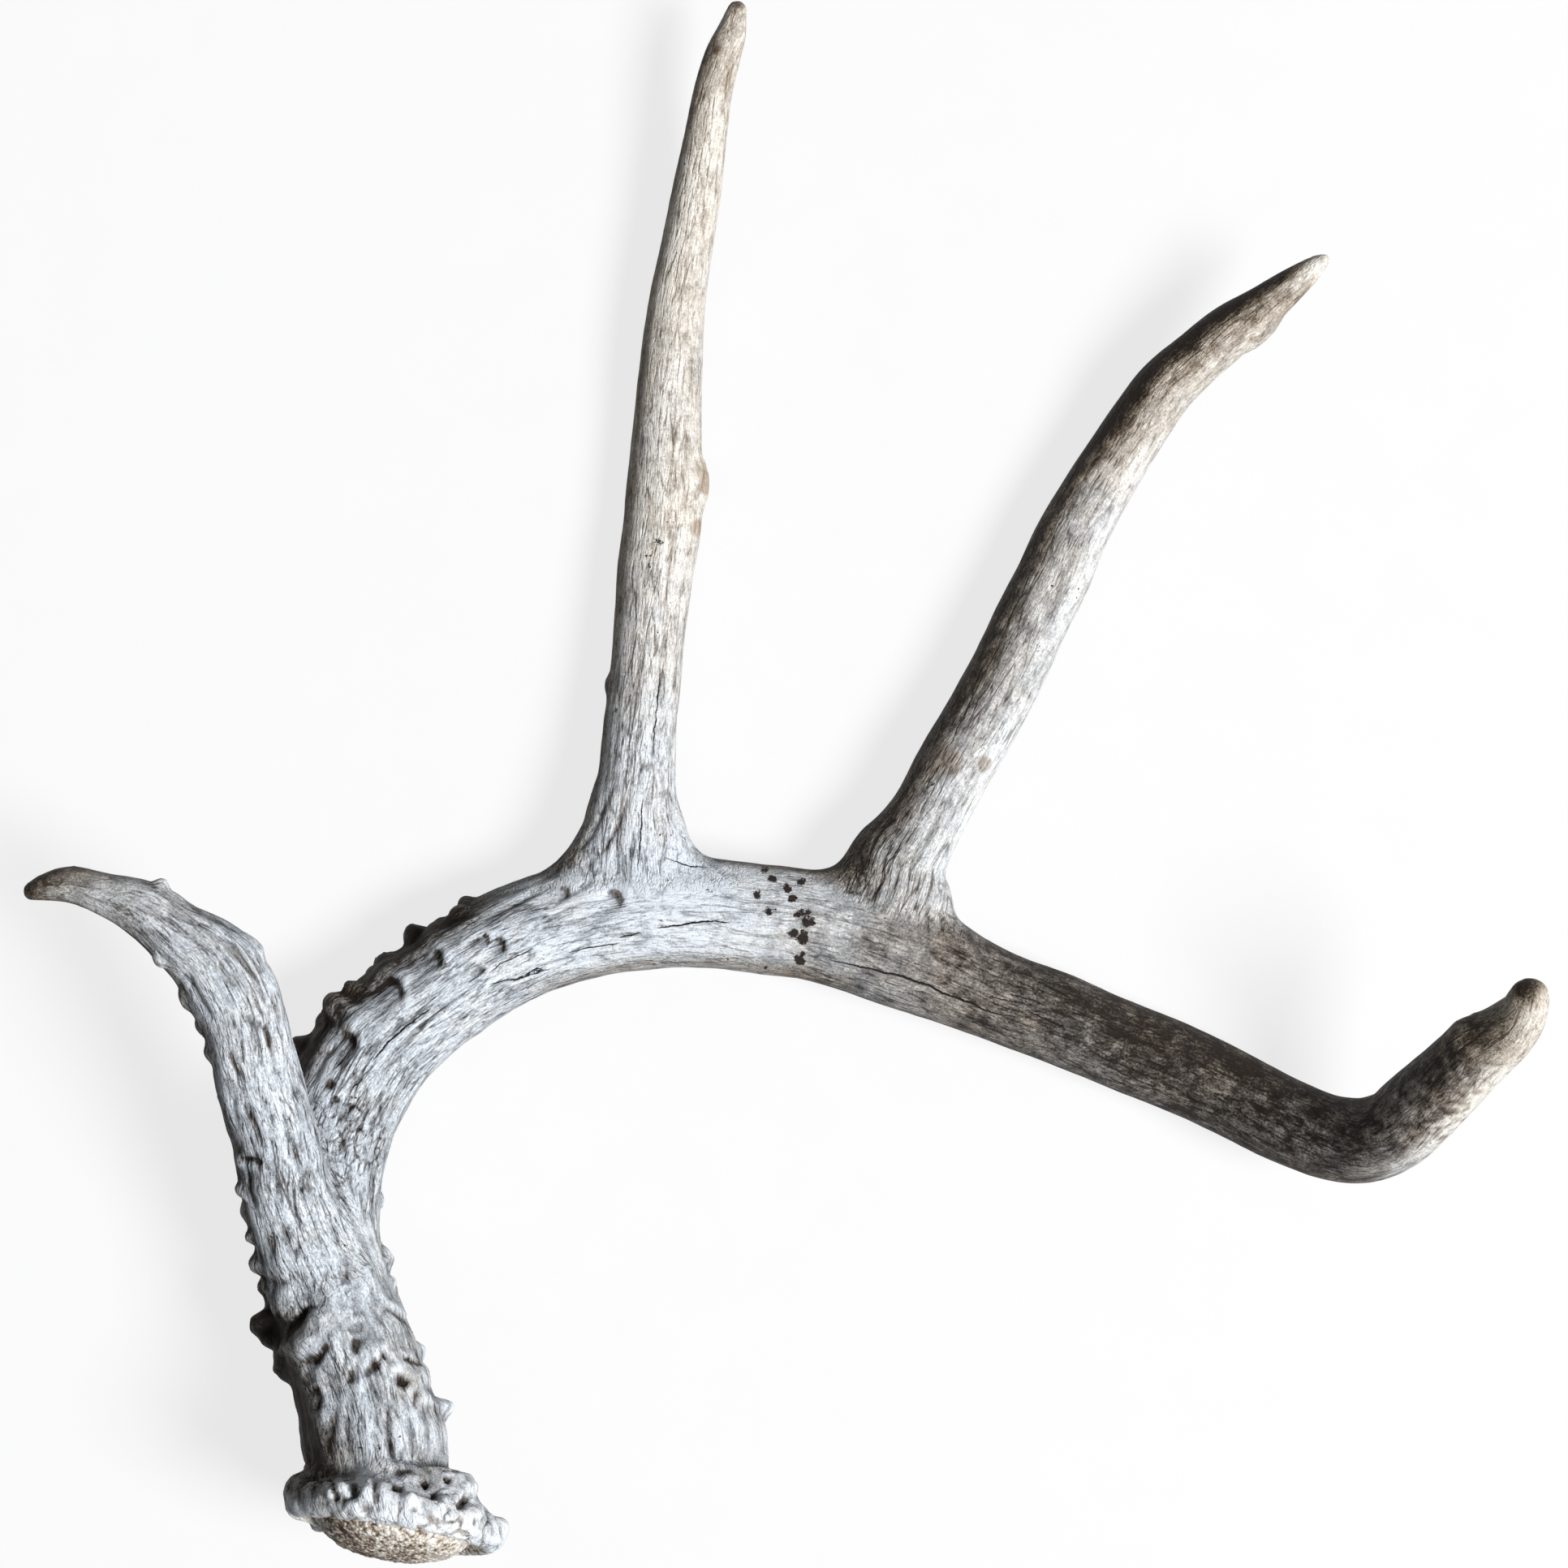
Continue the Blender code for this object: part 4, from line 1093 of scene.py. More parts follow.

# %% [markdown]
# Some folds and lumps of the upper side are large enough to know the antler by: the
# lobes of its coronet, the flutes above them and the folds that fan out into the
# tines. They are raised or sunk one by one, along listed lines.

# %% Ridges, grooves and low lumps of the upper side
# A ridge or groove is (height, half width, points of its line).
SCORES = [
    # Between the lumps of the lower beam.
    (-1.2, 1.5, [(-115.8, -127.6), (-118.8, -131.8), (-120.8, -134.8), (-122.0, -138.4)]),
    (-1.0, 1.2, [(-111.8, -136.8), (-113.8, -141.0), (-117.2, -142.8)]),
    (-1.0, 1.1, [(-105.8, -136.4), (-105.8, -141.2)]),
    (-0.9, 1.0, [(-101.6, -144.2), (-97.8, -141.6)]),
    (-0.9, 1.2, [(-95.4, -146.8), (-92.6, -148.4)]),
    (-0.9, 0.7, [(-94.6, -141.6), (-92.2, -142.0), (-89.6, -143.6)]),
    (-1.1, 0.9, [(-106.6, -144.4), (-107.2, -148.2)]),
    (0.8, 1.3, [(-105.4, -146.6), (-104.4, -151.0), (-103.8, -156.2)]),
    (0.8, 1.2, [(-114.8, -142.8), (-113.8, -152.2), (-112.6, -158.8)]),
    (0.7, 1.1, [(-105.8, -116.8), (-99.2, -126.8), (-92.6, -131.4)]),
    (-0.7, 0.7, [(-99.4, -128.6), (-95.2, -131.4), (-90.8, -134.2)]),
    # Flutes above the coronet.
    (-1.1, 0.9, [(-115.4, -148.2), (-114.0, -151.2), (-114.4, -155.0)]),
    (-0.7, 1.2, [(-110.2, -152.6), (-111.6, -159.8), (-111.8, -165.6)]),
    (-0.5, 0.9, [(-107.2, -152.0), (-107.8, -159.0), (-107.4, -167.2)]),
    (-0.45, 0.8, [(-104.0, -149.4), (-104.2, -157.4)]),
    (-0.5, 0.9, [(-100.2, -153.8), (-100.8, -160.8), (-100.0, -167.6)]),
    (-0.55, 0.9, [(-97.6, -152.4), (-97.2, -161.4), (-96.6, -168.0)]),
    (-0.5, 1.0, [(-92.4, -155.4), (-91.8, -161.4), (-91.4, -166.8)]),
    (-0.4, 0.8, [(-88.4, -158.0), (-88.0, -165.2)]),
    (-0.7, 0.7, [(-91.0, -149.6), (-91.4, -154.2)]),
    (-0.6, 1.6, [(-119.0, -168.2), (-112.0, -169.8), (-105.2, -170.2)]),
    (-0.7, 1.2, [(-97.0, -169.6), (-91.0, -169.0)]),
    (-0.7, 1.2, [(-86.0, -168.6), (-81.0, -169.4)]),
    # Pits between the lobes of the coronet.
    (-1.5, 0.8, [(-110.8, -173.0), (-110.2, -177.2)]),
    (-1.3, 0.7, [(-105.8, -172.4), (-105.6, -176.0)]),
    (-1.5, 0.8, [(-100.8, -172.6), (-100.4, -177.6)]),
    (-1.5, 0.8, [(-96.8, -173.4), (-93.6, -174.0)]),
    (-1.5, 0.8, [(-89.0, -171.4), (-87.4, -173.2)]),
    (-1.5, 0.9, [(-84.6, -171.6), (-82.8, -172.4)]),
    (-1.3, 0.7, [(-86.2, -174.0), (-86.0, -176.4)]),
    (-1.7, 1.5, [(-80.8, -177.0), (-78.4, -177.4)]),
    (-1.3, 0.8, [(-72.8, -178.0), (-71.0, -181.4)]),
    # Lobes of the coronet.
    (0.9, 1.0, [(-112.4, -171.4), (-111.6, -176.6)]),
    (0.8, 0.8, [(-107.8, -172.8), (-107.2, -177.4)]),
    (0.9, 0.9, [(-102.2, -171.4), (-103.4, -176.6)]),
    (0.8, 0.9, [(-98.8, -172.6), (-98.2, -177.4)]),
    (1.0, 1.4, [(-94.4, -170.8), (-89.8, -171.4)]),
    (0.8, 1.0, [(-93.4, -176.4), (-88.6, -177.0)]),
    (0.8, 1.2, [(-84.6, -174.0), (-83.6, -178.6)]),
    (0.9, 1.2, [(-80.8, -173.0), (-76.0, -174.4)]),
    (0.8, 1.2, [(-76.0, -177.0), (-74.4, -181.0)]),
    # Hollows on the left of the brow tine.
    (-0.9, 0.8, [(-134.2, -92.5), (-131.0, -92.6), (-128.3, -93.7)]),
    (-0.5, 0.8, [(-131.8, -95.0), (-131.4, -99.8), (-129.8, -104.8)]),
    (-0.6, 0.7, [(-135.8, -76.4), (-135.2, -81.4), (-134.2, -85.8)]),
    (-0.6, 0.7, [(-132.8, -78.4), (-129.8, -86.2), (-128.2, -91.0)]),
    (-0.7, 0.9, [(-137.2, -65.0), (-135.8, -69.4), (-133.8, -72.6)]),
    (-0.7, 0.9, [(-147.4, -46.4), (-144.6, -52.2), (-140.6, -58.6)]),
    (-0.4, 0.7, [(-127.8, -58.8), (-126.6, -65.6)]),
    (-0.4, 0.6, [(-123.2, -92.2), (-122.6, -97.6)]),
    # Folds that fan out from the beam into the second tine.
    (-0.5, 0.7, [(-41.8, -0.0), (-42.8, -1.8), (-44.8, -6.8), (-47.6, -12.8), (-51.2, -17.0)]),
    (
        -0.6,
        0.8,
        [(-37.8, -0.8), (-39.2, -5.4), (-41.2, -10.8), (-43.8, -15.4), (-47.2, -19.4), (-50.4, -20.8)],
    ),
    (-0.4, 0.6, [(-34.6, 18.6), (-35.8, 13.2), (-37.2, 7.8), (-38.8, 2.4)]),
    (0.4, 0.9, [(-29.0, 84.0), (-29.8, 66.0), (-30.4, 50.0), (-32.0, 30.0), (-34.4, 14.0), (-37.0, 2.0)]),
    (-0.35, 0.7, [(-27.6, 68.0), (-28.4, 52.0), (-29.6, 34.0), (-31.4, 20.0)]),
    (-0.5, 0.9, [(-73.2, -34.2), (-69.2, -31.4), (-64.6, -28.8), (-59.8, -25.6), (-53.6, -24.2)]),
    (-0.6, 0.8, [(-73.2, -28.8), (-69.8, -27.4), (-65.2, -25.8), (-59.8, -23.6), (-54.8, -20.2)]),
    (-0.35, 0.6, [(-61.2, -34.4), (-56.6, -32.4), (-51.2, -30.2), (-46.6, -28.2)]),
    (-0.4, 0.6, [(-46.6, -21.4), (-47.8, -24.2), (-51.8, -26.8), (-56.6, -29.4)]),
    (-0.3, 0.6, [(-26.6, -9.4), (-24.6, -14.8), (-20.6, -18.2), (-15.2, -21.4), (-9.2, -23.4)]),
    # Along the arch.
    (-0.4, 0.6, [(-96.0, -53.4), (-92.4, -50.2), (-88.6, -47.4)]),
    (-0.4, 0.6, [(-92.8, -40.8), (-86.4, -36.6), (-79.8, -33.0), (-73.4, -31.0)]),
    (-0.5, 0.8, [(-116.8, -73.8), (-113.6, -67.4), (-110.4, -64.0)]),
    # Where the third tine leaves the beam.
    (-0.4, 0.8, [(29.4, -21.0), (27.4, -25.4), (24.6, -29.6)]),
    (-0.4, 0.6, [(32.0, -29.6), (33.4, -32.6)]),
    (-0.4, 0.6, [(34.6, -31.4), (37.2, -34.8)]),
    (-0.35, 0.5, [(38.0, -30.6), (39.2, -34.2)]),
]
# A boss is a low, smooth lump of the upper side: (x, y, radius, height).
BOSSES = [
    (-123.0, -127.4, 3.8, 1.8),
    (-128.3, -99.6, 3.4, 1.3),
    (-122.6, -106.1, 3.2, 0.9),
    (-123.8, -117.6, 4.0, 1.2),
    (-115.2, -134.4, 6.2, 2.6),
    (-119.8, -139.6, 4.0, 1.6),
    (-108.6, -128.2, 4.2, 1.1),
    (-102.4, -140.2, 3.6, 1.9),
    (-95.4, -143.8, 2.8, 1.6),
    (-90.6, -146.4, 3.8, 1.5),
    (-98.6, -146.6, 3.0, 1.1),
    (-109.4, -139.6, 4.0, 1.3),
    (-97.6, -135.2, 6.0, 1.0),
    (-113.0, -117.0, 5.0, 0.9),
    (-104.0, -121.0, 4.0, 0.8),
    (-98.8, -44.4, 3.4, 1.0),
    (-86.8, -37.4, 3.0, 0.9),
    (-106.0, -57.4, 3.4, 1.0),
]
OUT_OF_SIGHT = 9.0

# Where a score sinks, its depth is kept and later painted dark in it, partly as dirt and partly as painted
# shade.
scored_dirt_and_shade = np.zeros(len(points))
for x, y, radius, height in BOSSES:
    far = np.linalg.norm(picture - (x, y), axis=1) / radius * ragged
    far[plain_normals[:, 2] < 0.05] = OUT_OF_SIGHT
    points += plain_normals * (height * np.exp(-(far**2.5)))[:, None]
for height, width, line in SCORES:
    near, side, along = from_line(line)
    rise = height * tapered(along, 4) * np.exp(-((side / width) ** 2))
    points[near] += plain_normals[near] * rise[:, None]
    scored_dirt_and_shade[near] += np.clip(-rise, 0, None)
print(len(SCORES), "ridges and grooves,", len(BOSSES), "low lumps")

# %% [markdown]
# Dark brown spots cross the arch in a loose row, and the tines have a few faint tan
# stains. Each is a cone of numbers, 1 in its middle. The paint cuts the cones off
# at a ragged height, so that the spots get the uneven edges of dried drops.

# %% Spots and stains
# A spot is (x, y, radius).
SPOTS = [
    (-4.8, -21.2, 0.9),
    (-2.8, -23.4, 0.7),
    (4.0, -24.2, 0.9),
    (0.8, -25.8, 0.9),
    (2.0, -28.2, 0.8),
    (-6.6, -27.4, 1.1),
    (-3.6, -31.0, 0.9),
    (-2.4, -31.0, 0.6),
    (4.2, -31.8, 1.2),
    (6.0, -31.4, 1.0),
    (5.2, -34.0, 1.4),
    (2.2, -36.6, 1.1),
    (5.0, -38.0, 1.3),
    (4.0, -43.4, 1.0),
    (4.6, -42.0, 0.7),
    (-4.6, -45.2, 0.45),
]
# A stain is a faint tan patch: (x, y, radius).
STAINS = [
    (-20.0, 73.0, 2.0),
    (-18.8, 76.6, 3.2),
    (-16.4, 180.8, 1.4),
    (49.4, 4.8, 2.0),
    (39.6, 5.2, 4.2),
    (-20.4, 63.0, 2.4),
    (-107.6, -60.4, 1.4),
]


def patches_at(places):
    """Soft cones at places of the picture: 1 in the middle, a half at the radius."""
    best = np.zeros(len(points))
    for x, y, radius in places:
        far = np.linalg.norm(picture - (x, y), axis=1)
        far += OUT_OF_SIGHT * (plain_normals[:, 2] < 0.1)
        best = np.maximum(best, 1 - 0.5 * far / radius)
    return best


spot, stain = patches_at(SPOTS), patches_at(STAINS)
print(len(SPOTS), "spots and", len(STAINS), "stains")

# %% [markdown]
# ## Where dirt and painted shade lie and where bone shines
#
# Hollows are painted dark, partly as dirt and partly as painted shade, and high
# places pale, partly as bleached and rubbed bone and partly as painted highlight.
# How deep a point lies is how far its neighbourhood's average stands above it.

# %% Hollows and crests
# How dark the grooves of the bark are painted along each branch, partly as dirt
# and partly as painted shade.
GROOVED = {
    "beam": [
        (-8, 0.0), (8, 0.1), (16, 0.3), (60, 0.3), (100, 0.4), (145, 0.36),
        (180, 0.16), (250, 0.14), (330, 0.2), (455, 0.0),
    ],
    "brow_tine": [(0, 0.3), (30, 0.5), (100, 0.55), (130, 0.5), (156, 0.2)],
    "second_tine": [(0, 0.12), (30, 0.2), (70, 0.26), (200, 0.15), (221, 0.0)],
    "third_tine": [(0, 0.4), (40, 0.35), (100, 0.3), (198, 0.0)],
}
FINE_ROUNDS = 5
BROAD_ROUNDS = 30

raised = ((points - plain) * plain_normals).sum(axis=1)
hollow_fine = even_out(raised, FINE_ROUNDS) - raised
hollow_broad = even_out(raised, BROAD_ROUNDS) - raised
hollow = np.clip(0.5 + 0.9 * hollow_fine + 0.3 * hollow_broad, 0, 1)
grooved = along_values(GROOVED) * clear
# Each term darkens a hollow: the grooves of the bark, creases, the brinks of pits, scored grooves and the
# holes of the net and of the rim. It is partly dirt and partly painted shade.
dirt_and_painted_shade = [
    grooved * soft_step(-streaks["groove"], 0.2, 2.2),
    0.8 * grooved * soft_step(-streaks["furrow"], 0.5, 2.5),
    0.8 * along_values(CREASES) / 0.4 * crease,
    np.clip(brink_shade, 0, 0.9),
    np.clip(0.5 * scored_dirt_and_shade, 0, 0.6),
    0.8 * hole_in_net,
    rim * smooth_left * np.clip(1.2 * holes, 0, 1),
]
valley = np.clip(np.max(dirt_and_painted_shade, axis=0) + 0.9 * (hollow - 0.55), 0, 1)
print(f"hollow from {hollow.min():.2f} to {hollow.max():.2f}; {int((valley > 0.4).sum())} points in valleys")

# %% [markdown]
# Two numbers carry the colour. `tone` runs from the dark of a furrow to bleached
# bone, and `warmth` from a cool, weathered grey to cream. Both start from lists
# along each branch, because it is palest on the arch and warmer towards its tips.

# %% Tone and warmth along each branch
TONE = {
    "beam": [
        (-8, 0.86), (8, 0.9), (30, 0.84), (80, 0.86), (110, 0.88), (150, 0.92),
        (175, 0.98), (205, 1.03), (222, 0.95), (246, 0.7), (265, 0.55), (300, 0.28),
        (345, 0.2), (400, 0.35), (420, 0.42), (440, 0.58), (455, 0.8),
    ],
    "brow_tine": [(0, 0.92), (60, 0.86), (100, 0.92), (125, 0.88), (140, 0.76), (156, 0.56)],
    "second_tine": [
        (0, 0.99), (30, 0.96), (50, 0.94), (100, 0.9),
        (150, 0.94), (190, 0.96), (205, 0.85), (221, 0.9),
    ],
    "third_tine": [(0, 0.68), (14, 0.84), (60, 0.74), (120, 0.76), (150, 0.74), (185, 0.64), (196, 0.95)],
}
WARMTH = {
    "beam": [
        (-8, 0.1), (30, 0.05), (100, 0.04), (200, 0.0), (225, 0.15),
        (246, 0.32), (290, 0.5), (400, 0.5), (430, 0.75), (455, 1.0),
    ],
    "brow_tine": [(0, 0.05), (100, 0.02), (125, 0.12), (156, 0.5)],
    "second_tine": [(0, 0.02), (30, 0.2), (60, 0.6), (100, 0.85), (150, 0.95), (200, 1.0), (221, 1.0)],
    "third_tine": [(0, 0.35), (40, 0.45), (90, 0.5), (130, 0.75), (160, 0.95), (198, 1.0)],
}

tone, warmth = along_values(TONE), along_values(WARMTH)
print("tone along the branches", tone.mean().round(2), "warmth", warmth.mean().round(2))

# %% [markdown]
# Each branch is darker along the side away from the lamp, partly from stains and
# partly as painted shade, and some sides that face the lamp are paler, partly as
# paler bone and partly as painted light. A few bands and places are darker or paler
# than what is round them. A broad wash covers a side of a branch and a round shade
# covers one place, and both have soft edges.

# %% Washes and shades
# A wash is (branch, from and to along it, middle angle, half span, tone, warmth).
# Washes near -90 darken the side away from the lamp, partly stain and partly painted shade. The washes near
# 60 that lighten a side are partly paler bone and partly painted light.
STAIN_SHADE_AND_LIGHT_WASHES = [
    ("beam", 6, 58, -88, 60, -0.95, 0.5),
    ("beam", 58, 92, -92, 46, -0.85, 0.5),
    ("beam", 95, 160, -90, 48, -1.05, 0.6),
    ("beam", 168, 245, -90, 24, -0.5, 0.4),
    ("beam", 165, 250, 80, 32, -0.28, 0.4),
    ("beam", 262, 400, -45, 34, -0.12, 0.1),
    ("beam", 262, 400, 60, 34, 0.1, 0.0),
    ("beam", 392, 436, 60, 44, 0.5, 0.1),
    ("beam", 425, 452, 55, 50, 0.12, 0.1),
    ("beam", 420, 450, -62, 50, -0.28, 0.1),
    ("third_tine", 0, 160, -85, 60, -0.5, 0.4),
    ("third_tine", 5, 178, 66, 50, 0.2, -0.1),
    ("third_tine", 130, 192, -80, 60, -0.75, 0.3),
    ("second_tine", 0, 60, -92, 32, -0.55, 0.5),
    ("second_tine", 60, 205, -90, 40, -0.3, 0.2),
    ("second_tine", 188, 214, -60, 50, -0.2, 0.1),
    ("brow_tine", 10, 156, -90, 36, -0.4, 0.4),
]
# A shade is a soft round patch of the picture: (x, y, radius, tone, warmth).
SHADES = [
    (-84.0, -186.0, 8.0, 0.25, 0.2),
    (-99.0, -182.0, 7.0, 0.15, 0.1),
    (-104.0, -187.0, 6.0, -0.2, 0.0),
    (-111.0, -181.0, 4.0, -0.25, 0.0),
    (-92.0, -191.0, 5.0, -0.3, 0.1),
    (-114.0, -168.0, 6.0, -0.35, 0.3),
    (-88.0, -169.0, 5.0, -0.2, 0.2),
    (-119.6, -134.0, 4.0, -0.2, 0.3),
    (-93.6, -147.6, 3.0, -0.1, 0.3),
    (-129.0, -98.0, 4.0, -0.2, 0.2),
    (-177.4, -25.6, 3.4, 0.16, 0.1),
    (-169.0, -26.4, 4.4, 0.16, 0.0),
    (-187.4, -26.0, 4.0, -0.5, 0.6),
    (-181.0, -20.8, 4.2, -0.45, 0.5),
    (-173.0, -19.8, 4.2, -0.4, 0.4),
    (-166.0, -21.4, 3.4, -0.25, 0.2),
    (-17.6, 182.0, 4.0, -0.15, 0.3),
    (-11.6, 192.4, 2.0, -0.4, 0.3),
    (131.0, 127.6, 2.4, 0.2, 0.3),
    (170.0, -44.6, 4.0, -0.3, 0.2),
    (186.0, -40.0, 3.4, -0.35, 0.2),
    (182.4, -49.6, 3.8, -0.9, 0.5),
    (185.4, -57.0, 4.6, 0.16, 0.1),
]
WASH_SOFT = 12


def window(values, low, high, soft):
    """1 between two places and 0 beyond them, with soft edges."""
    return soft_step(values, low - soft, low + soft) * (1 - soft_step(values, high - soft, high + soft))


for name, low, high, middle, span, darker, warmer in STAIN_SHADE_AND_LIGHT_WASHES:
    spot_on = on_beam if name == "beam" else on_tine
    mine = 1 - tine_share if name == "beam" else tine_share * (tine_number == TINES.index(name))
    mine = mine * (1 - on_face)
    angle = np.degrees(np.arctan2(spot_on[:, 0], spot_on[:, 1]))
    off = abs((angle - middle + 180) % 360 - 180)
    amount = mine * window(spot_on[:, 2], low, high, WASH_SOFT) * (1 - soft_step(off, span * 0.4, span * 1.3))
    tone, warmth = tone + darker * amount, warmth + warmer * amount
for x, y, radius, darker, warmer in SHADES:
    amount = np.exp(-((picture - (x, y)) ** 2).sum(axis=1) / radius**2) * (plain_normals[:, 2] > -0.1)
    tone, warmth = tone + darker * amount, warmth + warmer * amount
print(len(STAIN_SHADE_AND_LIGHT_WASHES), "washes and", len(SHADES), "shades")

# %% [markdown]
# Last come the things that nobody could place by hand: mottling in large and small
# patches, a light tint of the streaks, and darker hollows and paler crests, partly
# dirt and bleaching and partly painted shade and painted highlight.

# %% Mottling, and dirt and painted shade in the hollows
DEEP_BARK = 0.35
RIM_PALER = 0.14
MOST_TONE = 1.15
# Pale flecks lie on the beam between these places: (from, to, softness, tone).
FLECKED = (404, 436, 8, 0.34)
# The (cell size, seed) of each kind of patches and flecks.
BROAD_TONE, SMALL_TONE, FLECKS = (14.0, 51), (6.0, 52), (1.5, 55)
BROAD_WARMTH, SMALL_WARMTH = (18.0, 53), (5.0, 54)

patches = 0.6 * specks(plain, *BROAD_TONE) + 0.4 * specks(plain, *SMALL_TONE)
bark = np.clip(along_values(FURROW_DEPTH) / DEEP_BARK, 0.25, 1)
tone += FLECKED[3] * window(on_beam[:, 2], *FLECKED[:3]) * own_beam * specks(plain, *FLECKS)
tone += 0.07 * patches + 0.02 * streaks["band"] * (1 - neutral)
tone += bark * clear * (0.03 * furrow + 0.04 * groove + 0.03 * fibre)
warmth += 0.16 * specks(plain, *BROAD_WARMTH) + 0.14 * specks(plain, *SMALL_WARMTH)
# Hollows are painted darker and crests paler: partly dirt and bleached bone, partly painted shade and painted
# highlight.
tone += 0.35 * np.clip(0.5 - hollow, 0, 0.5) - 0.3 * np.clip(hollow - 0.5, 0, 0.5)
tone += rim * RIM_PALER
tone, warmth = np.clip(tone, 0, MOST_TONE), np.clip(warmth, 0, 1)
print("tone", tone.mean().round(2), "warmth", warmth.mean().round(2))

# %% [markdown]
# The skin now moves to its place: its box is centred on the box of the solids,
# it is scaled from millimetres to metres, and it is kept inside that box. Its
# lowest places are pressed flat, which is how it rests on the table.

# %% Into the frame, with the numbers that the paint reads
skin_box = np.stack([points.min(axis=0), points.max(axis=0)])
shift = cad_box.mean(axis=0) / MM - skin_box.mean(axis=0)
shift[2] = 0
placed = np.clip((points + shift) * MM, cad_box[0], cad_box[1])
mesh.vertices.foreach_set("co", placed.ravel())
mesh.update()
# The paint's lines swing into a tine a little before its base.
paint_share = even_out(soft_step(lead + GRAIN_LEAD, -SHARE_WIDTH, SHARE_WIDTH), 3)
numbers = {
    "tone": tone,
    "warmth": warmth,
    "fibre": streaks["fibre"],
    "hollow": hollow,
    "valley": valley,
    "neutral": neutral,
    "net": net,
    "cast_face": cast_face,
    "crack_side": crack_side,
    "crack_open": crack_open,
    "spot": spot,
    "stain": stain,
    "bark": bark,
    "tine_share": paint_share,
    "tine_number": tine_number,
}
vectors = {"on_beam": on_beam, "on_tine": on_tine, "plain_normal": plain_normals}
vectors["true_normal"] = read_points(mesh, "vertex_normals", "vector")
for name, values in numbers.items():
    mesh.attributes.new(name, "FLOAT", "POINT").data.foreach_set("value", values.astype(np.float32))
for name, values in vectors.items():
    rows = np.ascontiguousarray(values, dtype=np.float32)
    mesh.attributes.new(name, "FLOAT_VECTOR", "POINT").data.foreach_set("vector", rows.ravel())
print("shift in mm:", shift.round(3).tolist())
print(int((placed[:, 2] <= 1e-6).sum()), "points lie on the table")

# %% [markdown]
# ## Four pieces
#
# The antler is kept as four solids, the beam and three tines, so the skin is cut
# square across each tine just past its fork. Both ends are closed. The two sides
# of a cut share their points, and each keeps the direction that the whole skin
# had there, so no seam shows.

# %% Parting the tines
# Where each tine is cut, in the picture, and how wide a cut is, in half widths.
CUTS = {"brow_tine": (-125.2, -84.0), "second_tine": (-36.8, -4.0), "third_tine": (33.2, -11.6)}
CUT_REACH = 1.7


def choose_points(obj, chosen):
    """Opens the object in edit mode with only these points chosen."""
    choose_only(obj)
    bpy.ops.object.mode_set(mode="EDIT")
    bpy.ops.mesh.select_mode(type="VERT")
    bpy.ops.mesh.select_all(action="DESELECT")
    bpy.ops.object.mode_set(mode="OBJECT")
    obj.data.vertices.foreach_set("select", chosen)
    bpy.ops.object.mode_set(mode="EDIT")


def carried(mesh, name, field, width):
    """What the points of a mesh carry under a name, in rows of this width."""
    rows = np.empty(len(mesh.vertices) * width, np.float32)
    mesh.attributes[name].data.foreach_get(field, rows)
    return rows.reshape(-1, width)


def close_end(piece):
    """Fills the open end that a cut left."""
    choose_points(piece, np.zeros(len(piece.data.vertices), bool))
    bpy.ops.mesh.select_non_manifold()
    bpy.ops.mesh.fill()
    bpy.ops.object.mode_set(mode="OBJECT")


def part_off(name, spot_seen):
    """Cuts a tine off square at its fork, as its own object."""
    branch = branches[name]
    i, _ = branch.seen_at(*spot_seen)
    middle = (branch.centre[i] + shift) * MM
    reach = CUT_REACH * branch.half[i].max() * MM
    close = np.linalg.norm(read_points(skin.data) - middle, axis=1) < reach
    choose_points(skin, close)
    bpy.ops.mesh.bisect(plane_co=middle, plane_no=branch.tangent[i], threshold=MM / 100)
    bpy.ops.mesh.edge_split(type="EDGE")
    bpy.ops.object.mode_set(mode="OBJECT")
    tip = (branch.centre[-1] + shift) * MM
    far = np.linalg.norm(read_points(skin.data) - tip, axis=1)
    choose_points(skin, far == far.min())
    bpy.ops.mesh.select_linked()
    bpy.ops.mesh.separate(type="SELECTED")
    bpy.ops.object.mode_set(mode="OBJECT")
    (tine,) = [obj for obj in bpy.context.selected_objects if obj != skin]
    close_end(tine)
    close_end(skin)
    return tine


pieces = {name: part_off(name, spot_seen) for name, spot_seen in CUTS.items()}
pieces["main_beam"] = skin
for name, piece in pieces.items():
    piece.name = piece.data.name = name + "_bark"
    piece.data.shade_smooth()
    whole = carried(piece.data, "true_normal", "vector", 3)
    piece.data.normals_split_custom_set_from_vertices(unit(whole).tolist())
    triangles = sum(len(face.vertices) - 2 for face in piece.data.polygons)
    print(f"{piece.name}: {triangles} triangles")

# %% [markdown]
# ## A flat map of each piece
#
# Each finished piece gets a flat map that wastes little room. A branch is unrolled,
# in millimetres: across the map goes the way
# round it and up the map the way along it, in a few columns side by side. The tip,
# the cut ends and the two flat sides of the coronet are laid down face on.

# %% Unrolling the pieces
MAP_GAP = 2.4
TIP_LENGTH = 6.0
FACE_ON = 0.6
CORONET_LENGTH = 11.0
CORONET_INSIDE = 19.0
CORONET_OUTSIDE = 33
MOST_ACROSS = 700
ACROSS_STEP = 4


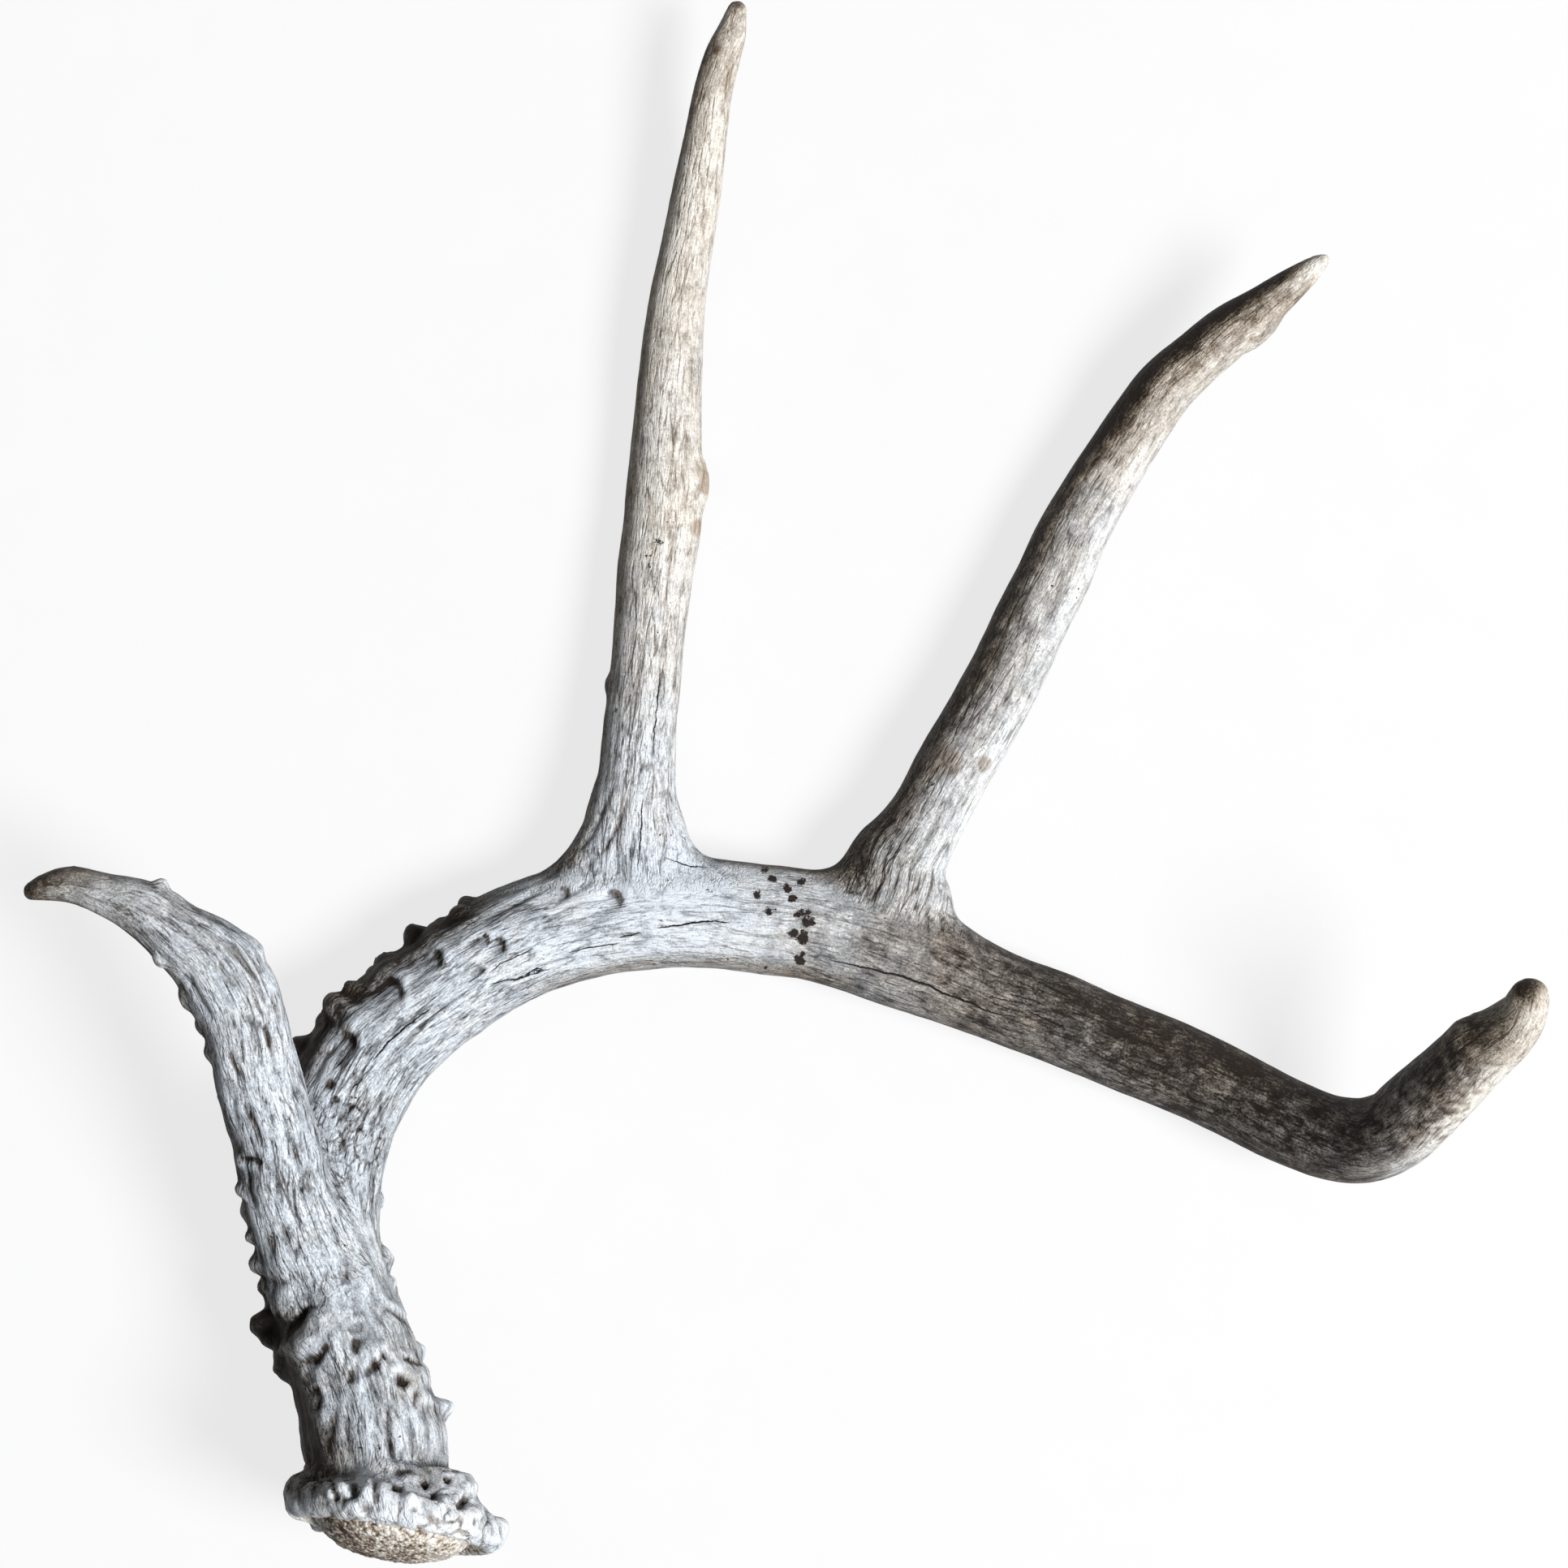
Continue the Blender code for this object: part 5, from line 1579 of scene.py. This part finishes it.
class Flat:
    """The faces and corners of a piece, to be laid out on its map."""

    def __init__(self, piece):
        self.mesh = piece.data
        self.corner = np.empty(len(self.mesh.loops), int)
        self.mesh.loops.foreach_get("vertex_index", self.corner)
        self.first = np.empty(len(self.mesh.polygons), int)
        self.mesh.polygons.foreach_get("loop_start", self.first)
        self.count = np.diff(np.append(self.first, len(self.corner)))
        self.face = np.repeat(np.arange(len(self.first)), self.count)
        self.places = read_points(self.mesh) / MM - shift
        self.facing = read_points(self.mesh, "polygons", "normal")
        self.normals = self.over_face(self.vectors("plain_normal"))
        self.free = np.ones(len(self.first), bool)
        self.sheets = []

    def vectors(self, name):
        return carried(self.mesh, name, "vector", 3).astype(float)

    def numbers(self, name):
        return carried(self.mesh, name, "value", 1)[:, 0].astype(float)

    def over_face(self, values):
        """The average over each face of a value of the vertices."""
        total = np.add.reduceat(values[self.corner], self.first, axis=0)
        return total / self.count.reshape((-1,) + (1,) * (values.ndim - 1))

    def lay(self, faces, flat):
        """Makes one sheet of some faces that are still free."""
        faces = faces & self.free
        if faces.any():
            self.free &= ~faces
            mine = faces[self.face]
            self.sheets.append((mine, flat[mine] - flat[mine].min(axis=0)))

    def lay_face_on(self, faces, middle, right, up):
        """One sheet seen square on, from outside the piece."""
        if self.facing[faces].sum(axis=0) @ np.cross(right, up) < 0:
            right = -right
        spots = (self.places - middle) @ np.stack([right, up], axis=1)
        self.lay(faces, spots[self.corner])

    def unrolled(self, across, lift, radius, along):
        """Each corner's way round and along, whole on one side of the seam."""
        angle = np.arctan2(across, lift)
        seen = np.arctan2(self.over_face(np.sin(angle)), self.over_face(np.cos(angle)))
        seen = seen[self.face]
        angle = seen + (angle[self.corner] - seen + math.pi) % (2 * math.pi) - math.pi
        return np.stack([angle * radius[self.corner], along[self.corner]], axis=1)

    def lay_branch(self, branch, spots, faces, columns):
        """Lays the tip face on, and the rest in columns."""
        across, lift, along = spots.T
        middle = self.over_face(along)
        near = np.clip(np.searchsorted(branch.along, middle), 0, len(branch.along) - 1)
        ahead = (self.normals * branch.tangent[near]).sum(axis=1)
        tip = (ahead > FACE_ON) & (middle > branch.along[-1] - TIP_LENGTH)
        self.lay(faces & tip, spots[self.corner, :2])
        radius = np.interp(along, branch.along, branch.half.mean(axis=1))
        flat = self.unrolled(across, lift, radius, along)
        inside = middle[faces & self.free]
        if len(inside):
            low, high = inside.min() - 0.01, inside.max() + 0.01
            column = (middle - low) * columns // (high - low)
            for number in range(columns):
                self.lay(faces & (column == number), flat)

    def lay_coronet(self):
        """Its two flat sides face on, and its edge unrolled."""
        local = self.places - base
        high = local @ base_axis
        right, front = local @ base_right, local @ base_front
        out = np.hypot(right, front)
        low = (self.over_face(high) < CORONET_LENGTH) & (self.over_face(out) < CORONET_OUTSIDE)
        down = self.normals @ base_axis
        self.lay_face_on(low & (down < -FACE_ON), base, base_right, base_front)
        wide = low & (self.over_face(out) > CORONET_INSIDE)
        self.lay_face_on(wide & (down > FACE_ON), base, base_right, base_front)
        round_it = np.full(len(out), out[self.corner[wide[self.face]]].max())
        self.lay(wide, self.unrolled(right, front, round_it, high))

    def packed(self):
        """Side and places of the sheets, in rows in the smallest square found."""
        sizes = [flat.max(axis=0) + MAP_GAP for _, flat in self.sheets]
        order = sorted(range(len(sizes)), key=lambda number: -sizes[number][1])
        best = (math.inf, None)
        for across in np.arange(max(size[0] for size in sizes), MOST_ACROSS, ACROSS_STEP):
            x = y = tall = 0.0
            spots = {}
            for number in order:
                wide, high = sizes[number]
                if x + wide > across:
                    x, y, tall = 0.0, y + tall, 0.0
                spots[number] = (x + MAP_GAP / 2, y + MAP_GAP / 2)
                x, tall = x + wide, max(tall, high)
            best = min(best, (max(across, y + tall), spots), key=lambda found: found[0])
        return best

    def write(self, side, spots):
        """Writes the sheets into the piece's map, which is one unit wide."""
        flat = np.zeros((len(self.corner), 2), np.float32)
        for number, (mine, sheet) in enumerate(self.sheets):
            flat[mine] = (sheet + spots[number]) / side
        layer = self.mesh.uv_layers.new(name="OFBake")
        layer.uv.foreach_set("vector", flat.ravel())


print("sheets are", MAP_GAP, "mm apart")

# %% [markdown]
# A long branch in one column would leave most of a square map empty. So each piece
# is laid out with one to five columns, and the smallest square of all is kept.

# %% Laying out each piece
MOST_COLUMNS = 5
ON_CUT = 0.02
CUT_RADIUS = 40


def lay_out(name, piece, columns):
    """Lays a piece out with its main branch in a number of columns."""
    plan = Flat(piece)
    for cut in CUTS:
        branch = branches[cut]
        i, _ = branch.seen_at(*CUTS[cut])
        off = plan.places - branch.centre[i]
        on_cut = abs(off @ branch.tangent[i]) < ON_CUT
        on_cut &= np.linalg.norm(off, axis=1) < CUT_RADIUS
        flat_end = plan.over_face(on_cut.astype(float)) > 0.99
        plan.lay_face_on(flat_end, branch.centre[i], branch.right[i], branch.up[i])
    every = np.ones(len(plan.first), bool)
    if name != "main_beam":
        plan.lay_branch(branches[name], plan.vectors("on_tine"), every, columns)
        return plan
    plan.lay_coronet()
    nearest = plan.over_face(plan.numbers("tine_number")).round()
    on_tines = plan.over_face(plan.numbers("tine_share")) > 0.5
    for number, tine in enumerate(TINES):
        mine = on_tines & (nearest == number)
        plan.lay_branch(branches[tine], plan.vectors("on_tine"), mine, 1)
    plan.lay_branch(branches["beam"], plan.vectors("on_beam"), every, columns)
    return plan


for name, piece in pieces.items():
    plans = []
    for columns in range(1, MOST_COLUMNS + 1):
        plan = lay_out(name, piece, columns)
        plans.append((*plan.packed(), columns, plan))
    side, spots, columns, plan = min(plans, key=lambda found: found[0])
    plan.write(side, spots)
    print(f"{piece.name}: {len(plan.sheets)} sheets, {columns} columns, {side:.0f} mm square")

# %% [markdown]
# ## Bone, as nodes
#
# The numbers on the skin give the paint its plan, and nodes add what is finer than
# the skin's cells. Three small groups are used again and again: streaks and crackle
# lines that follow a branch, and a soft threshold that turns a number into a mask.

# %% Helpers for nodes
def feed(tree, node, feeds):
    """Feeds a node's inputs with values or with sockets."""
    for socket, value in feeds.items():
        if isinstance(value, bpy.types.NodeSocket):
            tree.links.new(value, node.inputs[socket])
        else:
            node.inputs[socket].default_value = value
    return node


def put(tree, kind, feeds=None, **settings):
    """Adds a node, sets it up and feeds it."""
    node = tree.nodes.new("ShaderNode" + kind)
    for setting, value in settings.items():
        setattr(node, setting, value)
    return feed(tree, node, feeds or {})


def reckon(tree, what, a, b=0.0, clamp=False):
    """One step of arithmetic on two numbers."""
    return put(tree, "Math", {0: a, 1: b}, operation=what, use_clamp=clamp).outputs[0]


def sum_of(tree, *terms):
    """A sum of (socket, middle, weight) terms, each weighed about its own middle."""
    total = 0.0
    for socket, middle, weight in terms:
        swing = {0: reckon(tree, "SUBTRACT", socket, middle), 1: weight, 2: total}
        total = put(tree, "Math", swing, operation="MULTIPLY_ADD").outputs[0]
    return total


def blend_colours(tree, share, a, b, way="MIX"):
    """From colour a to colour b by a share."""
    node = put(tree, "Mix", {0: share, 6: a, 7: b}, data_type="RGBA", blend_type=way)
    return node.outputs[2]


def from_screen(red, green, blue):
    """A colour picked on a screen, as the linear values that nodes use."""
    parts = [value / 255 for value in (red, green, blue)]
    linear = [p / 12.92 if p <= 0.04045 else ((p + 0.055) / 1.055) ** 2.4 for p in parts]
    return (*linear, 1)


def ramp(tree, value, stops):
    """Colours along a number, from (place, colour) stops."""
    node = put(tree, "ValToRGB", {0: value})
    while len(node.color_ramp.elements) < len(stops):
        node.color_ramp.elements.new(0.5)
    for element, (place, colour) in zip(node.color_ramp.elements, stops):
        element.position, element.color = place, from_screen(*colour)
    return node.outputs[0]


def open_group(name, takes, gives):
    """A shader node group with named inputs and outputs."""
    group = bpy.data.node_groups.new(name, "ShaderNodeTree")
    for label, kind, value in takes:
        socket = group.interface.new_socket(label, in_out="INPUT", socket_type="NodeSocket" + kind)
        socket.default_value = value
    for label, kind in gives:
        group.interface.new_socket(label, in_out="OUTPUT", socket_type="NodeSocket" + kind)
    return group, group.nodes.new("NodeGroupInput").outputs, group.nodes.new("NodeGroupOutput").inputs


def feed_group(tree, group, feeds):
    """Adds a node for a group, and feeds it."""
    node = tree.nodes.new("ShaderNodeGroup")
    node.node_tree = group
    return feed(tree, node, feeds).outputs


print("a colour for the nodes:", [round(part, 3) for part in from_screen(128, 128, 128)])

# %% The groups of streaks, crackle lines and masks
PLACE = (0.0, 0.0, 0.0)
ON_BRANCH = [("On Beam", "Vector", PLACE), ("On Tine", "Vector", PLACE), ("Tine Share", "Float", 0.0)]
CELL = [("Width", "Float", 0.5), ("Length", "Float", 5.0)]
LINE_BEND = (0.5, 0.5, 0.9)


def in_cells(group, place, given):
    """A place on a branch, counted in the width and the length of a cell."""
    cell = put(group, "CombineXYZ", {0: given["Width"], 1: given["Width"], 2: given["Length"]})
    return put(group, "VectorMath", {0: place, 1: cell.outputs[0]}, operation="DIVIDE").outputs[0]


def noise_at(group, place, scale, detail=2.0, rough=0.5):
    feeds = {"Vector": place, "Scale": scale, "Detail": detail, "Roughness": rough}
    return put(group, "TexNoise", feeds)


bone_streaks, given, out = open_group(
    "bone_streaks", ON_BRANCH + CELL + [("Detail", "Float", 2.0)], [("Streak", "Float")]
)
noises = []
for where in ("On Beam", "On Tine"):
    spot_at = in_cells(bone_streaks, given[where], given)
    noises.append(noise_at(bone_streaks, spot_at, 1.0, given["Detail"], 0.6).outputs[0])
feeds = {0: given["Tine Share"], 2: noises[0], 3: noises[1]}
both = put(bone_streaks, "Mix", feeds, data_type="FLOAT")
bone_streaks.links.new(both.outputs[0], out["Streak"])

crackle, given, out = open_group(
    "crackle_lines", ON_BRANCH + CELL + [("Line", "Float", 0.1)], [("Mask", "Float")]
)
on_tine_here = reckon(crackle, "GREATER_THAN", given["Tine Share"], 0.5)
feeds = {0: on_tine_here, 4: given["On Beam"], 5: given["On Tine"]}
spot_at = in_cells(crackle, put(crackle, "Mix", feeds, data_type="VECTOR").outputs[1], given)
feeds = {0: noise_at(crackle, spot_at, 1.1, 3.0, 0.65).outputs["Color"], 1: LINE_BEND, 2: spot_at}
spot_at = put(crackle, "VectorMath", feeds, operation="MULTIPLY_ADD").outputs[0]
edges = put(crackle, "TexVoronoi", {"Vector": spot_at, "Scale": 1.0}, feature="DISTANCE_TO_EDGE")
feeds = {"Value": edges.outputs["Distance"], "From Max": given["Line"], "To Min": 1.0, "To Max": 0.0}
near_line = put(crackle, "MapRange", feeds, interpolation_type="SMOOTHSTEP")
crackle.links.new(near_line.outputs[0], out["Mask"])

soft_mask, given, out = open_group(
    "soft_mask",
    [("Value", "Float", 0.5), ("Low", "Float", 0.4), ("High", "Float", 0.6), ("Amount", "Float", 1.0)],
    [("Mask", "Float")],
)
feeds = {"Value": given["Value"], "From Min": given["Low"], "From Max": given["High"]}
feeds["To Max"] = given["Amount"]
rise = put(soft_mask, "MapRange", feeds, interpolation_type="SMOOTHSTEP")
soft_mask.links.new(rise.outputs[0], out["Mask"])
print("groups:", bone_streaks.name, crackle.name, soft_mask.name)

# %% [markdown]
# The material reads the skin's numbers as attributes. Its streaks and lines are
# measured along the branches, and its specks and blotches in plain space, so that
# the first ones bend with the antler and the second ones lie on it like dust.

# %% The bone material: what it reads
bone = bpy.data.materials.new("weathered_bone")
bone.use_nodes = True
tree = bone.node_tree
shader = tree.nodes["Principled BSDF"]


def number(name):
    """A number that the skin carries."""
    return put(tree, "Attribute", attribute_name=name).outputs["Fac"]


def times(a, b):
    return reckon(tree, "MULTIPLY", a, b)


def left_of_one(value):
    return reckon(tree, "SUBTRACT", 1.0, value, clamp=True)


place_on_beam = put(tree, "Attribute", attribute_name="on_beam").outputs["Vector"]
place_on_tine = put(tree, "Attribute", attribute_name="on_tine").outputs["Vector"]


def along_branch(group, gives, **sizes):
    """A group that follows the branches, with its own cell sizes."""
    feeds = {"On Beam": place_on_beam, "On Tine": place_on_tine, "Tine Share": number("tine_share")}
    return feed_group(tree, group, {**feeds, **sizes})[gives]


def streak(width, length, detail=2.0):
    return along_branch(bone_streaks, "Streak", Width=width, Length=length, Detail=detail)


def cracked(width, length, line):
    return along_branch(crackle, "Mask", Width=width, Length=length, Line=line)


def mask(value, low, high, amount=1.0):
    feeds = {"Value": value, "Low": low, "High": high, "Amount": amount}
    return feed_group(tree, soft_mask, feeds)["Mask"]


in_metres = put(tree, "TexCoord").outputs["Object"]
has_way = left_of_one(number("neutral"))
bark = number("bark")
long_streak, fine_streak = streak(0.6, 4.5), streak(0.32, 1.7, 3.0)
speck = noise_at(tree, in_metres, 1700.0, 3.0, 0.75).outputs[0]
blotch = noise_at(tree, in_metres, 260.0, 4.0, 0.6).outputs[0]
patchy = noise_at(tree, in_metres, 110.0).outputs[0]
print("the material so far has", len(tree.nodes), "nodes")

# %% [markdown]
# Fine dark lines run along the grain in a loose net, and come and go. They are
# cracks that a weathered antler has all over, with dirt in them. They fade at the
# forks, where the lines of two branches would meet at odds.

# %% Dark lines along the grain
feeds = {"Value": bark, "From Min": 0.25, "To Min": 0.45, "To Max": 1.15}
barky = put(tree, "MapRange", feeds).outputs[0]
come_and_go = mask(sum_of(tree, (streak(2.4, 7.0, 2.0), 0.0, 1.0), (patchy, 0.5, 0.6)), 0.40, 0.60)
from_fork = reckon(tree, "ABSOLUTE", reckon(tree, "SUBTRACT", number("tine_share"), 0.5))
off_fork = put(tree, "MapRange", {"Value": from_fork, "From Max": 0.5}).outputs[0]
wide_net = times(cracked(2.2, 14.0, 0.13), times(come_and_go, off_fork))
fine_net = times(cracked(1.2, 5.5, 0.17), mask(blotch, 0.42, 0.6))
net_patch = times(cracked(2.3, 5.0, 0.14), mask(number("net"), 0.1, 0.5))
net_patch = times(net_patch, mask(blotch, 0.36, 0.56))
dash = times(mask(streak(0.55, 2.8, 1.0), 0.60, 0.66), has_way)
flow = sum_of(tree, (number("fibre"), 0.0, -1.0), (speck, 0.5, 1.6), (blotch, 0.5, 1.2))
flow_line = times(mask(flow, 0.9, 1.35), has_way)
# The valleys are darkened and browned, partly as dirt and partly as painted shade.
shade_and_dirt_terms = [(number("valley"), 0.0, 1.0), (speck, 0.5, 0.6), (fine_streak, 0.5, 0.6), (blotch, 0.5, 0.3)]
dark_shade_and_dirt = mask(sum_of(tree, *shade_and_dirt_terms), 0.36, 0.72)
print("the material so far has", len(tree.nodes), "nodes")

# %% [markdown]
# The tone of the skin is then disturbed by all of this and turned into colour by
# two ramps, one of cool, bleached bone and one of warm, handled bone. Dark bone
# shows its grain more than bleached bone does.

# %% From tone to colour
COOL_BONE = [
    (0.0, (35, 30, 25)),
    (0.25, (84, 83, 84)),
    (0.5, (133, 137, 142)),
    (0.75, (185, 191, 198)),
    (1.0, (238, 245, 253)),
]
WARM_BONE = [
    (0.0, (41, 30, 22)),
    (0.25, (96, 84, 70)),
    (0.5, (151, 137, 121)),
    (0.75, (202, 191, 177)),
    (1.0, (250, 245, 236)),
]

grained = sum_of(tree, (long_streak, 0.5, 0.26), (fine_streak, 0.5, 0.8))
on_smooth = times(reckon(tree, "SUBTRACT", 1.0, bark), reckon(tree, "SUBTRACT", blotch, 0.5))
mottled = sum_of(tree, (speck, 0.5, 0.8), (blotch, 0.5, 0.55), (on_smooth, 0.0, 0.7))
feeds = {"Value": number("tone"), "From Min": 0.2, "From Max": 0.8, "To Min": 1.5, "To Max": 1.0}
in_dark = put(tree, "MapRange", feeds).outputs[0]
nets = [(net_patch, 0.0, -0.4), (wide_net, 0.0, -0.38), (fine_net, 0.0, -0.3)]
netted = sum_of(tree, *nets, (dash, 0.0, -0.22), (flow_line, 0.0, -0.2))
textured = times(reckon(tree, "ADD", grained, netted), barky)
textured = times(reckon(tree, "ADD", textured, mottled), in_dark)
# Hollows are painted darker: partly dirt, partly painted shade.
sunk = [(dark_shade_and_dirt, 0.0, -0.26), (number("valley"), 0.0, -0.24)]
textured = sum_of(tree, (textured, 0.0, 1.0), *sunk)
tone_here = reckon(tree, "ADD", number("tone"), textured, clamp=True)
cool, warm = ramp(tree, tone_here, COOL_BONE), ramp(tree, tone_here, WARM_BONE)
warmer = sum_of(tree, (blotch, 0.5, 0.6), (dark_shade_and_dirt, 0.0, 0.3))
warmth_here = reckon(tree, "ADD", number("warmth"), warmer, clamp=True)
colour = blend_colours(tree, warmth_here, cool, warm)
print("the material so far has", len(tree.nodes), "nodes")

# %% [markdown]
# Where the antler let go of the skull the bone is open and grainy. A cell pattern
# gives its grains, with dark pores where the cells meet, and a ramp of cream and
# tan colours them. A mask that the skin carries lays this over the bone.

# %% The cast face
CAST_FACE = [
    (0.0, (66, 54, 44)),
    (0.3, (136, 120, 104)),
    (0.6, (205, 194, 180)),
    (1.0, (246, 243, 236)),
]
FACE_BRIGHTNESS = 0.56

grain_cells = put(tree, "TexVoronoi", {"Vector": in_metres, "Scale": 1000.0, "Randomness": 1.0})
pore = grain_cells.outputs["Distance"]
# The face is darker in its hollows, such as the ring next to the rim, partly as dirt and partly as painted
# shade.
face_terms = [(number("hollow"), 0.5, -0.9), (pore, 0.5, -0.9), (speck, 0.5, 2.0), (patchy, 0.5, 1.2)]
face_tone = sum_of(tree, *face_terms, (number("tone"), 0.9, 1.2))
face_colour = ramp(tree, reckon(tree, "ADD", face_tone, FACE_BRIGHTNESS, clamp=True), CAST_FACE)
colour = blend_colours(tree, number("cast_face"), colour, face_colour)
print("the material so far has", len(tree.nodes), "nodes")

# %% [markdown]
# Stains let the bone show through, so they multiply its colour. Spots and cracks
# cover it. The distances that the skin carries are first shaken by the noises,
# which turns even discs and straight lines into ragged ones.

# %% Stains, spots and cracks
TAN, DRIED_BROWN, CRACK_BLACK = (176, 150, 120), (34, 21, 14), (30, 26, 24)

stained = sum_of(tree, (number("stain"), 0.0, 1.0), (speck, 0.5, 0.6), (blotch, 0.5, 0.8))
stain_mask = mask(stained, 0.42, 0.66, 0.6)
colour = blend_colours(tree, stain_mask, colour, from_screen(*TAN), "MULTIPLY")
spotted = sum_of(tree, (number("spot"), 0.0, 1.0), (speck, 0.5, 1.0), (blotch, 0.5, 2.0))
colour = blend_colours(tree, mask(spotted, 0.38, 0.5, 0.98), colour, from_screen(*DRIED_BROWN))
wobble = sum_of(tree, (blotch, 0.5, 1.5), (speck, 0.5, 0.5))
from_crack = reckon(tree, "ABSOLUTE", reckon(tree, "ADD", number("crack_side"), wobble))
gape = reckon(tree, "SUBTRACT", number("crack_open"), from_crack)
crack_mask = times(mask(gape, -0.12, 0.02), mask(number("crack_open"), 0.0, 0.05))
colour = blend_colours(tree, crack_mask, colour, from_screen(*CRACK_BLACK))
tree.links.new(colour, shader.inputs["Base Color"])
print("the material so far has", len(tree.nodes), "nodes")

# %% [markdown]
# Rubbed bone has a low gloss and dirt has none. What is too fine for the skin is
# left to a bump: the lines along the grain, but not on the cast face, the cracks
# and the grains.

# %% Gloss and the finest relief
BONE_ROUGHNESS = 0.66
BONE_SPECULAR = 0.25
BUMP_STRENGTH = 0.7
BUMP_HEIGHT = 0.0008

gloss = sum_of(tree, (number("hollow"), 0.5, 0.3), (speck, 0.5, 0.25), (number("warmth"), 0.5, -0.12))
roughness = reckon(tree, "ADD", gloss, BONE_ROUGHNESS, clamp=True)
tree.links.new(roughness, shader.inputs["Roughness"])
shader.inputs["Specular IOR Level"].default_value = BONE_SPECULAR
fine_lines = [(long_streak, 0.5, 0.5), (fine_streak, 0.5, 0.5), (wide_net, 0.0, -0.5), (fine_net, 0.0, -0.2)]
marks = [(flow_line, 0.0, -0.25), (dash, 0.0, -0.2), (dark_shade_and_dirt, 0.0, -0.5)]
lined = sum_of(tree, (sum_of(tree, *fine_lines), 0.0, 1.0), *marks)
height = sum_of(
    tree,
    (times(lined, left_of_one(number("cast_face"))), 0.0, 1.0),
    (times(pore, number("cast_face")), 0.0, -0.8),
    (speck, 0.5, 0.4),
    (blotch, 0.5, 0.3),
    (net_patch, 0.0, -0.7),
    (crack_mask, 0.0, -1.2),
)
bump = put(tree, "Bump", {"Strength": BUMP_STRENGTH, "Distance": BUMP_HEIGHT, "Height": height})
tree.links.new(bump.outputs[0], shader.inputs["Normal"])
for piece in pieces.values():
    piece.data.materials.clear()
    piece.data.materials.append(bone)
print("bone uses", len(tree.nodes), "nodes")

# %% [markdown]
# ## The table, the light and the camera
#
# The antler lies on a plain pale table. The table glows a little, so that it stays
# nearly white in the picture without more light on the bone.

# %% The table
TABLE_SIZE = 60
TABLE_GREYS = [(0.0, (112, 112, 113)), (1.0, (117, 117, 117))]
TABLE_ROUGHNESS = 0.9
TABLE_GLOW = 0.78

bpy.ops.mesh.primitive_plane_add(size=TABLE_SIZE, location=(0, 0, 0))
table = bpy.context.object
table.name = "table"
table.visible_diffuse = False
paper = bpy.data.materials.new("pale_table")
paper.use_nodes = True
paper_tree = paper.node_tree
paper_shader = paper_tree.nodes["Principled BSDF"]
fleck = noise_at(paper_tree, put(paper_tree, "TexCoord").outputs["Object"], 60.0, 3.0)
paper_colour = ramp(paper_tree, fleck.outputs[0], TABLE_GREYS)
paper_tree.links.new(paper_colour, paper_shader.inputs["Base Color"])
paper_shader.inputs["Roughness"].default_value = TABLE_ROUGHNESS
paper_shader.inputs["Emission Color"].default_value = (1, 1, 1, 1)
paper_shader.inputs["Emission Strength"].default_value = TABLE_GLOW
table.data.materials.append(paper)
print("the table is", TABLE_SIZE, "m wide")

# %% [markdown]
# A broad, soft lamp stands to the right and a little towards the base, as in the
# photograph: right-hand edges are bright and left-hand edges dark. A faint sky
# fills the shadows, and it is weaker from below, as light from a table is.

# %% The lamp and the sky
LAMP_AWAY = 3.0
LAMP_LEAN = math.radians(40)
LAMP_TURN = math.radians(-18)
LAMP_SIZE = 1.2
LAMP_ENERGY = 116
SKY = (0.95, 0.98, 1.0, 1)
SKY_STRENGTH = 0.13
BOUNCE_STRENGTH = 0.1

sideways = math.sin(LAMP_LEAN)
lean = (sideways * math.cos(LAMP_TURN), sideways * math.sin(LAMP_TURN), math.cos(LAMP_LEAN))
bpy.ops.object.light_add(type="AREA", location=[LAMP_AWAY * part for part in lean])
lamp = bpy.context.object
lamp.data.shape = "DISK"
lamp.data.size = LAMP_SIZE
lamp.data.energy = LAMP_ENERGY
lamp.rotation_euler = (-lamp.location).to_track_quat("-Z", "Y").to_euler()
world = bpy.data.worlds.new("studio")
world.use_nodes = True
air = world.node_tree
height_seen = put(air, "SeparateXYZ", {0: put(air, "TexCoord").outputs["Generated"]}).outputs[2]
feeds = {"Value": height_seen, "From Min": -0.1, "From Max": 0.1}
feeds.update({"To Min": BOUNCE_STRENGTH, "To Max": SKY_STRENGTH})
strength_seen = put(air, "MapRange", feeds).outputs[0]
air.nodes["Background"].inputs[0].default_value = SKY
air.links.new(strength_seen, air.nodes["Background"].inputs[1])
bpy.context.scene.world = world
print("lamp at", [round(part, 2) for part in lamp.location])

# %% [markdown]
# The camera looks straight down on the middle of the picture. Its lens is worked
# out from how far it is and how wide the picture is, so that both can be changed.

# %% The camera
SENSOR_WIDTH = 36

eye = [shift[0] * MM, shift[1] * MM, (PICTURE_HEIGHT + EYE_DISTANCE) * MM]
bpy.ops.object.camera_add(location=eye, rotation=(0, 0, 0))
camera = bpy.context.object
camera.data.sensor_width = SENSOR_WIDTH
camera.data.lens = SENSOR_WIDTH * EYE_DISTANCE / PICTURE_ACROSS
bpy.context.scene.camera = camera
bpy.context.scene.view_settings.view_transform = "Standard"
print("lens", round(camera.data.lens, 1), "mm, eye at", [round(v, 4) for v in eye])

# %% [markdown]
# ## The pieces and their solids
#
# Every piece rides on the one body and stands for its own solid, which is hidden.

# %% Pieces to their solids
for name, piece in pieces.items():
    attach(piece, "root")
    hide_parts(name)
